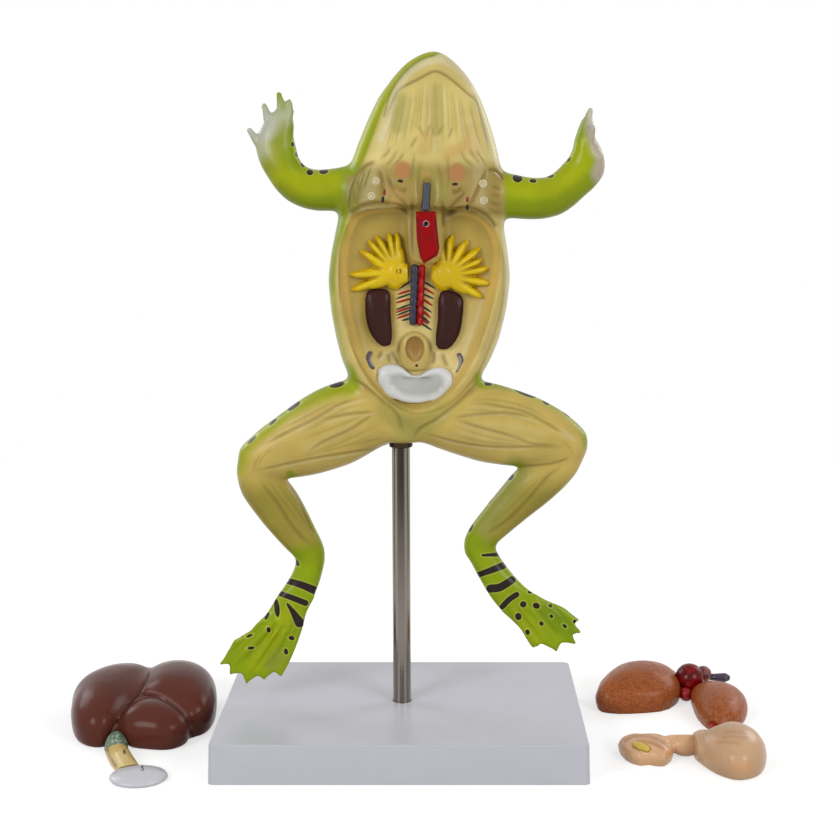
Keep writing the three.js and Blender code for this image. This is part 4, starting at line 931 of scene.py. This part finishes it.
# The form is cut where the limbs leave the trunk, and each part is closed with a cap
def splitSkin(form):
    bm = bmesh.new()
    bm.from_mesh(form.data)
    cuts = {}

    def beyond(point, node):
        if (point.x > 0) == (cuts[node][0].x > 0):
            return False
        return point.z > skin["armsAbove"] if "arm" in node else point.z < skin["legsBelow"]

    for node in skin["limbs"]:
        direction, reach = cutPlane(node)
        reach -= (skin["armShift"] if "arm" in node else 0) * mm
        cuts[node] = direction, reach
        near = [face for face in bm.faces if beyond(face.calc_center_median(), node)]
        around = {vertex for face in near for vertex in face.verts} | {edge for face in near for edge in face.edges}
        bmesh.ops.bisect_plane(bm, geom=[*around, *near], dist=1e-7, plane_co=direction * reach, plane_no=direction)

    def ownerOf(face):
        middle = face.calc_center_median()
        for node, (direction, reach) in cuts.items():
            if beyond(middle, node) and direction.dot(middle) < reach:
                return node
        return "torso"

    owners = [ownerOf(face) for face in bm.faces]
    whole = bpy.data.meshes.new("whole")
    bm.to_mesh(whole)
    bm.free()
    parts = {}
    for node in ("torso", *skin["limbs"]):
        part = bmesh.new()
        part.from_mesh(whole)
        gone = [face for face, owner in zip(part.faces, owners) if owner != node]
        bmesh.ops.delete(part, geom=gone, context="FACES")
        rim = [edge for edge in part.edges if edge.is_boundary]
        caps = bmesh.ops.holes_fill(part, edges=rim, sides=0)["faces"]
        for edge in rim:
            edge.smooth = False
        bmesh.ops.triangulate(part, faces=caps)
        parts[node] = newObject(node + "_skin", part)
    bpy.data.objects.remove(form)
    return parts


# Organs: copies of the solids, evened out, with grooves pressed in and darkened with painted shade. Strokes are
# in pixels of the picture; a piece without strokes has one colour. Depths and voxels are in millimetres.
fatTips = {
    "left": [(351.5, 291), (349.5, 275), (361.7, 251.5), (369.5, 241), (376.5, 236), (389.3, 233.3), (397.3, 233.3)],
    "right": [(440, 243), (450, 236), (466, 241), (479.5, 249), (482, 260), (488.5, 268.5), (491.5, 284), (483, 298.5)],
}
fatPalms = {"left": (397, 273), "right": (446, 276)}
fatPad = {
    "palm": (-11, 15, 12, 3.4),
    # share of the way to the tip, how far forward, half length as a share of the finger, half width and depth
    "fingers": [(0.3, -10.8, 0.42, 7.6, 3.2), (0.56, -10.9, 0.4, 4.0, 2.6)],
}


# Grooves between neighbouring fingers of a fat body, darkened with painted shade, and the bright backs of the
# fingers, which carry a painted highlight
def fatStrokes(side):
    palm = np.array(fatPalms[side], float)
    tips = [np.array(tip, float) for tip in fatTips[side]]
    grooves = []
    for here, there in zip(tips, tips[1:]):
        middle = (here + there) / 2
        grooves.append([middle + (palm - middle) * share for share in (0.0, 0.35, 0.7)])
    backs = [[tip + (palm - tip) * share for share in (0.08, 0.4, 0.7)] for tip in tips]
    return {"grooves": strokeSet(1.2, 0.8, 0.8, *grooves, fade=0.3),
            "backs": strokeSet(2.4, -0.3, 0.35, *backs, fade=0.3)}


# An ellipsoid on the frog for a fill: its middle in the picture, how far forward it lies, half sizes across the
# picture in pixels and through it in millimetres, and its turn
def pad(across, down, level, long, short, thick, turn=0):
    place, way = sightAt(across, down)
    middle = (place + way * (level * mm - place.y) / way.y) / mm
    return tuple(middle), (long * shot["pixel"], thick, short * shot["pixel"]), turn


# Pads in a row that widen a vessel
def padRow(start, end, level, short, thick, count=7):
    steps = [(i + 0.5) / count for i in range(count)]
    long = 0.8 * math.hypot(end[0] - start[0], end[1] - start[1]) / count
    return [pad(start[0] + (end[0] - start[0]) * t, start[1] + (end[1] - start[1]) * t, level, short, long, thick)
            for t in steps]


# Pads under the fingers of a fat body, which are webbed for over half their length
def fatPads(side):
    palm = np.array(fatPalms[side], float)
    pads = [pad(*palm, *fatPad["palm"])]
    for tip in fatTips[side]:
        reach = np.array(tip, float) - palm
        long = np.linalg.norm(reach)
        turn = math.degrees(math.atan2(reach[1], reach[0]))
        for share, level, length, short, thick in fatPad["fingers"]:
            pads.append(pad(*(palm + reach * share), level, long * length, short, thick, turn))
    return pads


# An organ: cells and rounding of its form in millimetres, slot, colour and body. Fills, grooves, bright backs, a
# hollow and the gloss follow where it has them. The colour of the grooves is painted shade; the crest colour on
# the backs is a painted highlight, except on the stomach and intestine, where it is an orange band.
def organ(voxel, reach, slot, colour, body="frog", **more):
    return {"voxel": voxel, "reach": reach, "slot": slot, "colour": colour, "body": body, **more}


def fatBody(side):
    # Painted shade in the grooves between the fingers, and a painted highlight along their backs
    return organ(0.35, 0.6, "fat_yellow", (204, 172, 4), groove=(150, 112, 2), crest=(226, 202, 30), swell=0.15,
                 shine=0.22, fill=fatPads(side), **fatStrokes(side))


def iliacVein(*stroke):
    # A painted highlight along the middle of the crescent
    return organ(0.22, 0.4, "iliac_violet", (78, 72, 84), crest=(170, 168, 172), swell=0.35,
                 backs=strokeSet(1.0, -0.1, 0.8, stroke))


kidney = organ(0.4, 0.6, "kidney_brown", (54, 26, 22), shine=0.1, coat=0.03, swell=0.3)
lung = organ(0.6, 2.0, "lung_orange", (162, 90, 46), "lungs_piece", peel=0.0004, swell=0.4, shine=0.1,
             second={"seam color": (124, 62, 32), "scale": 800, "depth": 0.6})
organs = {
    "left_fat_body": fatBody("left"),
    "right_fat_body": fatBody("right"),
    "left_kidney": kidney,
    "right_kidney": kidney,
    "vena_cava": organ(0.25, 0.4, "vein_blue", (52, 54, 68), shine=0.15,
                       fill=padRow((415, 267), (412.4, 322), -10.6, 3.8, 1.3)),
    "dorsal_aorta": organ(0.25, 0.4, "artery_red", (146, 2, 6), shine=0.12, coat=0.05,
                          fill=padRow((421.4, 267), (419, 324), -10.2, 3.0, 1.2)),
    # Grooves along its edges, darkened with painted shade
    "heart_seat": organ(0.3, 0.5, "artery_red", (146, 2, 8), groove=(84, 2, 6), shine=0.12, coat=0, grooves=strokeSet(
        1.4, 0.35, 0.5, [(417, 216), (420, 236), (420, 258)], [(436, 216), (436, 232), (439, 250)],
        [(424, 262), (432, 258), (439, 252)])),
    "throat_vein": organ(0.3, 0.4, "vein_blue", (68, 70, 82)),
    # The grey in its hollow is painted shade.
    "bladder": organ(
        0.4, 1.2, "bladder_white", (204, 205, 204),
        fill=[pad(across, down, -10.6, long, short, 2.4) for across, down, long, short in (
            (391, 379, 14, 13.5), (440, 383, 14, 13.5), (415, 391, 26, 13), (397, 387, 15, 13), (435, 389, 14, 13))],
        hollow={"outline": [(389.8, 376.8), (400.3, 374.8), (409.9, 378.7), (421.4, 377.8), (434.8, 374.8),
                            (442.4, 378.7), (442.4, 388.2), (434.8, 394.9), (419.5, 397.8), (404.2, 395.9),
                            (392.7, 388.2)],
                "deep": 1.5, "soft": 8, "colour": (170, 172, 166), "fade": (500, 501)}),
    # The brown in its hollow is partly its own colour and partly painted shade, darkest at the top; the groove down its
    # left side is painted shade.
    "rectum": organ(
        0.35, 0.9, "rectum_cream", (184, 160, 88), groove=(120, 82, 30), fill=[pad(415.3, 351, -9.3, 8.5, 13, 1.2)],
        hollow={"outline": [(409, 342), (415, 338), (421, 342), (422, 350), (419.5, 360), (415.5, 365), (411.5, 360),
                            (408.5, 350)],
                "deep": 1.6, "soft": 8, "colour": (146, 104, 40), "fade": (346, 366)},
        grooves=strokeSet(1.3, 0.5, 0.5, [(414, 338), (409.5, 342), (407.5, 350), (410, 359)])),
    "left_iliac_vein": iliacVein((372, 354), (370.4, 360), (374, 367)),
    "right_iliac_vein": iliacVein((459, 355), (460.6, 362), (457, 371)),
    # Painted shade in the grooves between the lobes, and a painted highlight along the raised lines beside them
    "liver": organ(
        0.8, 4.2, "liver_brown", (88, 44, 34), "liver_piece", coat=0.06, rough=0.24, shine=0.08, swell=0.4,
        groove=(48, 20, 16), crest=(170, 130, 118),
        fill=[((-154, 28, 6), (19, 34, 19), 0), ((-137, 4, 5), (19, 14, 16.5), 0)],
        grooves=strokeSet(
            0.9, 1.0, 0.7,
            [(151.5, 668), (145, 682), (139, 694), (129, 703), (119.7, 718), (111.7, 730.7), (107, 738)],
            [(139, 694), (148, 694.5), (157.6, 696), (167, 702), (179.4, 711), (187.4, 721.5), (193, 738)], fade=0.08),
        backs=strokeSet(1.1, -0.4, 0.2, [(143, 691.5), (157.6, 693.5), (168, 699), (181, 708.5), (189.5, 719)],
                        [(117, 724), (112, 732)])),
    "gall_bladder": organ(0.35, 1.4, "gall_green", (84, 104, 84), "liver_piece",
                          second={"streak color": (150, 170, 150), "scale": 420, "share": 0.56}),
    # Grooves along its edges, darkened with painted shade
    "sternum_bar": organ(0.35, 1.0, "sternum_yellow", (206, 180, 112), "sternum_piece", groove=(104, 84, 36),
                         grooves=strokeSet(1.2, 0.2, 0.8, [(105.5, 744), (108.5, 754), (115.5, 766)],
                                           [(129.5, 744), (136, 753), (141.5, 765)], fade=0)),
    "sternum_disc": organ(0.4, 1.2, "disc_white", (198, 198, 205), "sternum_piece"),
    "left_lung": lung,
    "right_lung": lung,
    "heart": organ(0.35, 1.4, "heart_red", (128, 8, 10), "lungs_piece", swell=0.2, coat=0.1, rough=0.2, shine=0.12,
                   second={"streak color": (84, 8, 16), "scale": 80, "share": 0.52}),
    "heart_atrium": organ(0.3, 0.9, "heart_red", (150, 74, 52), "lungs_piece",
                          second={"streak color": (84, 44, 66), "scale": 160, "share": 0.5}),
    "aorta_root": organ(0.3, 0.9, "artery_red", (150, 14, 20), "lungs_piece"),
    "lung_vein": organ(0.25, 0.6, "vein_blue", (58, 44, 66), "lungs_piece"),
    "lung_tip_vessel": organ(0.25, 0.6, "artery_red", (150, 20, 22), "lungs_piece"),
    # Fold grooves darkened with painted shade; the crest is an orange band of its own colour
    "stomach": organ(
        0.6, 2.4, "stomach_pink", (192, 154, 118), "gut_piece", crest=(206, 146, 92), groove=(150, 112, 84),
        fill=[((167, -33, 8), (10, 12, 8.5), 0)],
        backs=strokeSet(5, -0.1, 0.5, [(726, 765), (740, 768), (755, 765)], [(711, 739), (713, 744)]),
        grooves=strokeSet(1.4, 0.25, 0.3, [(722, 733), (734, 732), (748, 734)], [(719, 738), (733, 736.5), (750, 739)],
                          [(716, 743), (728, 742), (742, 744)])),
    # Fold grooves darkened with painted shade; the crest is an orange band of its own colour
    "intestine": organ(
        0.4, 1.0, "stomach_pink", (206, 162, 122), "gut_piece", crest=(214, 142, 92), groove=(140, 88, 60),
        fill=[((157, -27, 6), (9, 5.5, 6), 0)],
        backs=strokeSet(4, -0.2, 0.5, [(665, 751), (672, 754)], [(680, 733), (686, 733)]),
        grooves=strokeSet(1.5, 0.9, 0.5, [(630, 738), (640, 735), (652, 737), (664, 742), (672, 750)],
                          [(634, 742), (646, 741), (658, 745), (666, 752)], [(622, 742), (630, 737), (637, 734)])),
    "pancreas": organ(0.22, 0.5, "pancreas_yellow", (198, 170, 74), "gut_piece"),
}

stand = {
    "base": {"edge": 0.5, "sharp": 30, "bevelOver": 40, "colour": (190, 190, 199)},
    "rod": {"radius": 5, "low": 4.3, "high": 203.7, "chamfer": 0.8, "colour": (138, 131, 122)},
    "sleeve": {"outer": 6.5, "inner": 5.3, "low": 168.5, "high": 206, "cap": 2, "chamfer": 0.5,
               "colour": (60, 48, 40)},
    "sides": 96,
    # The streak colour and the bands after it are painted reflections on the rod
    "streak": (44, 37, 33),
    "reflectionBandFade": (0.06, 0.16),  # metres up the bar, where the painted reflection bands come to full strength
    "reflectionBands": [(0.0, 0.5), (0.06, 0.7), (0.1, 0.0), (0.16, 0.05), (0.2, 0.9), (0.29, 0.95), (0.34, 0.2), (0.44, 0.1),
                (0.47, 0.6), (0.55, 0.1), (0.66, 0.9), (0.76, 0.2), (0.86, 0.8), (0.93, 0.1), (1.0, 0.5)],
}


# A closed form turned about the upright axis from [radius, height] points in millimetres
def turnedForm(name, profile):
    bm = bmesh.new()
    line = [bm.verts.new((radius * mm, 0, height * mm)) for radius, height in profile]
    edges = [bm.edges.new(pair) for pair in zip(line, line[1:])]
    bmesh.ops.spin(bm, geom=[*line, *edges], cent=(0, 0, 0), axis=(0, 0, 1), angle=2 * math.pi,
                   steps=stand["sides"])
    bmesh.ops.remove_doubles(bm, verts=bm.verts, dist=0.001 * mm)
    bmesh.ops.recalc_face_normals(bm, faces=bm.faces)
    piece = newObject(name, bm)
    smoothShaded(piece, 35)
    return piece


# Metal. The bands darken it over turns about the upright axis, as (share of a turn, how dark); they are painted
# reflections.
def metalFinish(name, colour, rough, reflectionBands=()):
    material, tree, surface = newMaterial(name, {"Metallic": 1, "Roughness": rough})
    last = useGroup(tree, "mottle", {"Color": rgba(colour), "Amount": 0.06, "Cloud Scale": 30})["Color"]
    if reflectionBands:
        spot = textured(tree, "ShaderNodeSeparateXYZ").outputs
        around = maths(tree, "ARCTAN2", spot["Y"], spot["X"])
        turn = addNode(tree, "ShaderNodeMapRange", {"Value": around, "From Min": -math.pi, "From Max": math.pi})
        band = addNode(tree, "ShaderNodeValToRGB", {"Fac": turn.outputs[0]})
        band.color_ramp.interpolation = "EASE"
        stops = band.color_ramp.elements
        for i, (share, dark) in enumerate(reflectionBands):
            stop = stops[i] if i < 2 else stops.new(share)
            stop.position = share
            stop.color = (dark, dark, dark, 1)
        # the painted reflections fade towards the foot of the bar
        low, high = stand["reflectionBandFade"]
        fade = {"Value": spot["Z"], "From Min": low, "From Max": high, "To Min": 0.25}
        fade = addNode(tree, "ShaderNodeMapRange", fade, interpolation_type="SMOOTHSTEP")
        share = maths(tree, "MULTIPLY", band.outputs["Color"], fade.outputs[0])
        last = mixed(tree, share, last, rgba(stand["streak"]))
    tree.links.new(last, surface.inputs["Base Color"])
    return material


def makeStand():
    base = mergedCopy("base_shell", "base")
    bevel = base.modifiers.new("edges", "BEVEL")
    bevel.width = stand["base"]["edge"] * mm
    bevel.segments = 2
    bevel.harden_normals = True
    bevel.limit_method = "ANGLE"
    bevel.angle_limit = math.radians(stand["base"]["bevelOver"])
    smoothShaded(base, stand["base"]["sharp"])
    # keeps the flat top's shading flat beside its round edge
    even = base.modifiers.new("flatFaces", "WEIGHTED_NORMAL")
    even.keep_sharp = True
    plastic = paintedFinish("basePlastic", stand["base"]["colour"], mottle=0.02)
    dress(base, "stand", "base_plastic", plastic, "base")
    low, high, chamfer = (stand["rod"][key] for key in ("low", "high", "chamfer"))
    radius = stand["rod"]["radius"]
    rod = turnedForm("steel_rod", [(0, low), (radius - chamfer, low), (radius, low + chamfer),
                                   (radius, high - chamfer), (radius - chamfer, high), (0, high)])
    steel = metalFinish("platedSteel", stand["rod"]["colour"], 0.16, stand["reflectionBands"])
    dress(rod, "stand", "rod_steel", steel, "support_rod")
    sleeve = stand["sleeve"]
    outer, inner, cut = sleeve["outer"], sleeve["inner"], sleeve["chamfer"]
    collar = turnedForm("rod_collar", [
        (inner, sleeve["low"]), (outer - cut, sleeve["low"]), (outer, sleeve["low"] + cut),
        (outer, sleeve["high"] - cut), (outer - cut, sleeve["high"]), (0, sleeve["high"]),
        (0, sleeve["high"] - sleeve["cap"]), (inner, sleeve["high"] - sleeve["cap"]), (inner, sleeve["low"]),
    ])
    dress(collar, "sleeve", "sleeve_metal", metalFinish("darkSleeve", sleeve["colour"], 0.35), "rod_sleeve")


# Lets a region of a piece in, below zero at its outline, and darkens it with the hollow's colour as painted shade
def pressHollow(piece, hollow, colours):
    here = look(piece)
    share = smoothStep(-outlineGap(here["seen"], hollow["outline"]), -hollow["soft"] / 2, hollow["soft"] / 2)
    share *= smoothStep(here["facing"], *shaping["hollowFacing"])
    writePoints(piece.data, here["points"] - here["normals"] * (share * hollow["deep"] * mm)[:, None])
    share *= 1 - shaping["hollowThins"] * smoothStep(here["seen"][:, 1], *hollow["fade"])
    return layer(colours, hollow["colour"], share)


def makeOrgans():
    for node, given in organs.items():
        piece = softCopy(node + "_form", given["voxel"], given["reach"], node, fill=given.get("fill", ()),
                         swell=given.get("swell", 0))
        colours = np.tile(light(given["colour"]), (len(piece.data.vertices), 1))
        strokes = {key: given[key] for key in ("grooves", "backs") if key in given}
        if strokes:
            dark, pale = sculpt(piece, strokes)
            # painted shade in the grooves, and on the backs a painted highlight or a band of the organ's own colour
            colours = layer(colours, given.get("groove", (0, 0, 0)), dark)
            colours = layer(colours, given.get("crest", (255, 255, 255)), pale)
        if "hollow" in given:
            colours = pressHollow(piece, given["hollow"], colours)
        setColours(piece, colours)
        gloss = {key: given[key] for key in ("second", "peel", "coat", "rough", "shine") if key in given}
        dress(piece, given["body"], given["slot"], paintedFinish(node + "Paint", **gloss), node)


# Small raised details. Each is drawn flat, in pixels of the picture with its height in millimetres, and then laid
# on what is seen there.
def lens(bm, across, down, long, short, turn=0, tall=0.25):
    place = Matrix.Translation((across, -down, 0)) @ Matrix.Rotation(math.radians(-turn), 4, "Z")
    bmesh.ops.create_uvsphere(bm, u_segments=24, v_segments=8, radius=1,
                              matrix=place @ Matrix.Diagonal((long, short, tall, 1)))


def ring(bm, across, down, radius, thick=0.5, tall=0.2):
    place = Matrix.Translation((across + radius, -down, 0)) @ Matrix.Rotation(math.pi / 2, 4, "X")
    made = bmesh.ops.create_circle(bm, segments=8, radius=1, matrix=place @ Matrix.Diagonal((thick, tall, 1, 1)))
    loop = {edge for vertex in made["verts"] for edge in vertex.link_edges}
    bmesh.ops.spin(bm, geom=[*made["verts"], *loop], cent=(across, -down, 0), axis=(0, 0, 1),
                   angle=2 * math.pi, steps=32, use_merge=True)


def brushed(bm, start, end, half=0.9, tall=0.3):
    dx, dy = end[0] - start[0], end[1] - start[1]
    lens(bm, (start[0] + end[0]) / 2, (start[1] + end[1]) / 2, math.hypot(dx, dy) / 2, half,
         math.degrees(math.atan2(dy, dx)), tall)


def numeral(bm, text, across, down, size):
    curve = bpy.data.curves.new("numeral", "FONT")
    curve.body = text
    curve.size = size
    curve.extrude = 0.15
    curve.align_x = "CENTER"
    curve.align_y = "CENTER"
    holder = bpy.data.objects.new("numeral", curve)
    bpy.context.scene.collection.objects.link(holder)
    mesh = bpy.data.meshes.new_from_object(holder.evaluated_get(bpy.context.evaluated_depsgraph_get()))
    mesh.transform(Matrix.Translation((across, -down, 0)))
    bm.from_mesh(mesh)
    bpy.data.objects.remove(holder)


darkBranches = [
    ((411, 281), (399, 289)), ((411, 293.5), (395.5, 299)), ((410.5, 304), (395.5, 310)), ((410, 310), (396.5, 315.5)),
    ((410, 318.5), (401.5, 320.5)), ((422.5, 281), (435.7, 288.7)), ((422, 293.5), (434.3, 299)),
    ((422, 306), (432, 312.6)), ((421, 315.5), (430, 323)), ((421, 323), (432, 330.4)),
]
redBranches = [
    ((411, 290), (397.5, 294.5)), ((411, 298.5), (395.5, 303)), ((410.5, 307), (395.5, 312.5)),
    ((410.5, 313.5), (396.5, 318.5)), ((422.5, 287), (434.7, 294.5)), ((422, 298.3), (432.8, 306)),
    ((422, 309.7), (431, 318.3)), ((420, 318.3), (429, 324)),
]
stickers = [(375.8, 181), (371.4, 196), (483.1, 183.5), (483.7, 200.4)]
details = {
    "branch_strokes_dark": {"colour": (34, 44, 46), "slot": "vein_blue",
                            "brushed": [(*ends, 1.05, 0.35) for ends in darkBranches]},
    "branch_strokes_red": {"colour": (160, 16, 12), "slot": "artery_red",
                           "brushed": [(*ends, 1.25, 0.4) for ends in redBranches],
                           "lens": [(421, 283, 3.2, 4.4, 0, 0.4), (420.6, 297, 3.4, 4.6, 0, 0.4),
                                    (420, 310.5, 3.6, 4.4, 0, 0.4), (419, 321.5, 3.6, 3.6, 0, 0.4)]},
    "number_discs": {"colour": (182, 166, 116), "slot": "belly_skin",
                     "lens": [(*spot, 3.3, 3.3, 0, 0.3) for spot in stickers]},
    "number_rings": {"colour": (208, 198, 170), "slot": "belly_skin",
                     "ring": [(*spot, 3.4, 0.6, 0.4) for spot in stickers] + [(397.8, 325.4, 4.4, 0.35, 0.2)]},
    "peg_rim": {"colour": (190, 170, 168), "slot": "artery_red", "ring": [(426, 223.8, 2.9, 0.35, 0.3)]},
    # Dark discs in slots and holes: painted shade
    "slot_shade": {"colour": (26, 16, 14), "slot": "belly_skin",
                   "lens": [(382.9, 199.6, 1.6, 3.2, 6, 0.4), (467.3, 207.2, 1.7, 3.0, 0, 0.4),
                            (400.4, 181, 3.0, 1.6, 8, 0.3), (455, 184.2, 3.2, 1.5, -4, 0.3),
                            (426, 223.8, 2.5, 2.5, 0, 0.12), (416.7, 365.6, 1.6, 1.4, 0, 0.2)]},
    "red_slots": {"colour": (130, 14, 10), "slot": "artery_red",
                  "lens": [(384.7, 192.4, 1.3, 2.9, 4, 0.4), (467.5, 199.5, 1.4, 2.9, 0, 0.4)]},
    "frog_numbers": {"colour": (30, 22, 14), "slot": "belly_skin",
                     "numeral": [("13", 398.5, 271.5, 6.5), ("9", 429.6, 238.5, 5), ("17", 448.7, 308.7, 5.5)]
                     + [(digit, *spot, 4.6) for digit, spot in zip("1243", stickers)]},
    "sternum_numbers": {"colour": (30, 22, 14), "slot": "sternum_yellow", "body": "sternum_piece",
                        "numeral": [("6", 124.4, 752, 6.5), ("5", 142.4, 768.4, 7)]},
}


def makeDetails():
    seen = bmesh.new()
    for piece in [made for made in bpy.context.scene.objects if made.name.endswith(("_skin", "_form"))]:
        seen.from_mesh(piece.data)
    surface = BVHTree.FromBMesh(seen)
    seen.free()
    makers = {"lens": lens, "ring": ring, "brushed": brushed, "numeral": numeral}
    for name, detail in details.items():
        bm = bmesh.new()
        for kind, make in makers.items():
            for values in detail.get(kind, ()):
                make(bm, *values)
        bmesh.ops.remove_doubles(bm, verts=bm.verts, dist=0.001)
        for vertex in bm.verts:
            tall = vertex.co.z
            spot, normal, _, _ = surface.ray_cast(*sightAt(vertex.co.x, -vertex.co.y))
            vertex.co = spot + normal * tall * mm
        bmesh.ops.recalc_face_normals(bm, faces=bm.faces)
        piece = newObject(name, bm)
        smoothShaded(piece, 60)
        finish = paintedFinish(name + "Paint", detail["colour"], mottle=0.08, shine=0.25)
        dress(piece, detail.get("body", "frog"), detail["slot"], finish)


eyes = {
    "radius": 7,
    "gaze": {"left_eye": (-0.75, 0.6, 0.25), "right_eye": (0.75, 0.6, 0.25)},
    "pupil": 22,  # degrees from the gaze
    "iris": 46,
    "soft": 3,
    "colours": {"pupil": (18, 12, 10), "iris": (186, 146, 40), "rim": (92, 108, 6)},
}


def makeEyes():
    finish = paintedFinish("eyeGloss", rough=0.12, coat=0.4, shine=0.3)
    for node, gaze in eyes["gaze"].items():
        low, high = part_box(node)
        middle = (Vector(low) + Vector(high)) / 2
        bm = bmesh.new()
        bmesh.ops.create_uvsphere(bm, u_segments=64, v_segments=32, radius=eyes["radius"] * mm,
                                  matrix=Matrix.Translation(middle))
        eye = newObject(node + "_ball", bm)
        away = (readPoints(eye.data) - np.array(middle)) / (eyes["radius"] * mm)
        turn = np.degrees(np.arccos(np.clip(away @ np.array(Vector(gaze).normalized()), -1, 1)))
        colours = np.tile(light(eyes["colours"]["rim"]), (len(turn), 1))
        for part in ("iris", "pupil"):
            share = 1 - smoothStep(turn, eyes[part] - eyes["soft"], eyes[part] + eyes["soft"])
            colours = layer(colours, eyes["colours"][part], share)
        setColours(eye, colours)
        smoothShaded(eye)
        dress(eye, "frog", "eye_gloss", finish, node)


makeCamera()
makeStudio()
form = makeSkinForm()
roundSkin(form)
tint, highlight = sculpt(form, creases | ridges)
raised = shapeBack(form)
colours, gap, back = paintSkin(form, tint, highlight, raised)
setColours(form, colours)
setValues(form, gap, "mark")
setValues(form, back, "back")
smoothShaded(form)
print("skin form:", len(form.data.vertices), "points")
skinFinish = paintedFinish("skinPaint", shine=0.15, coat=0.08, marks={
    "gap": "mark", "region": "back", "colour": paints["mark"], "ring": paints["ring"]})
for node, part in splitSkin(form).items():
    smoothShaded(part)
    dress(part, "frog", "belly_skin" if node == "torso" else "green_skin", skinFinish, node)
    print(part.name, len(part.data.polygons), "faces")
makeOrgans()
makeDetails()
makeEyes()
makeStand()
print("organs, eyes and stand made")
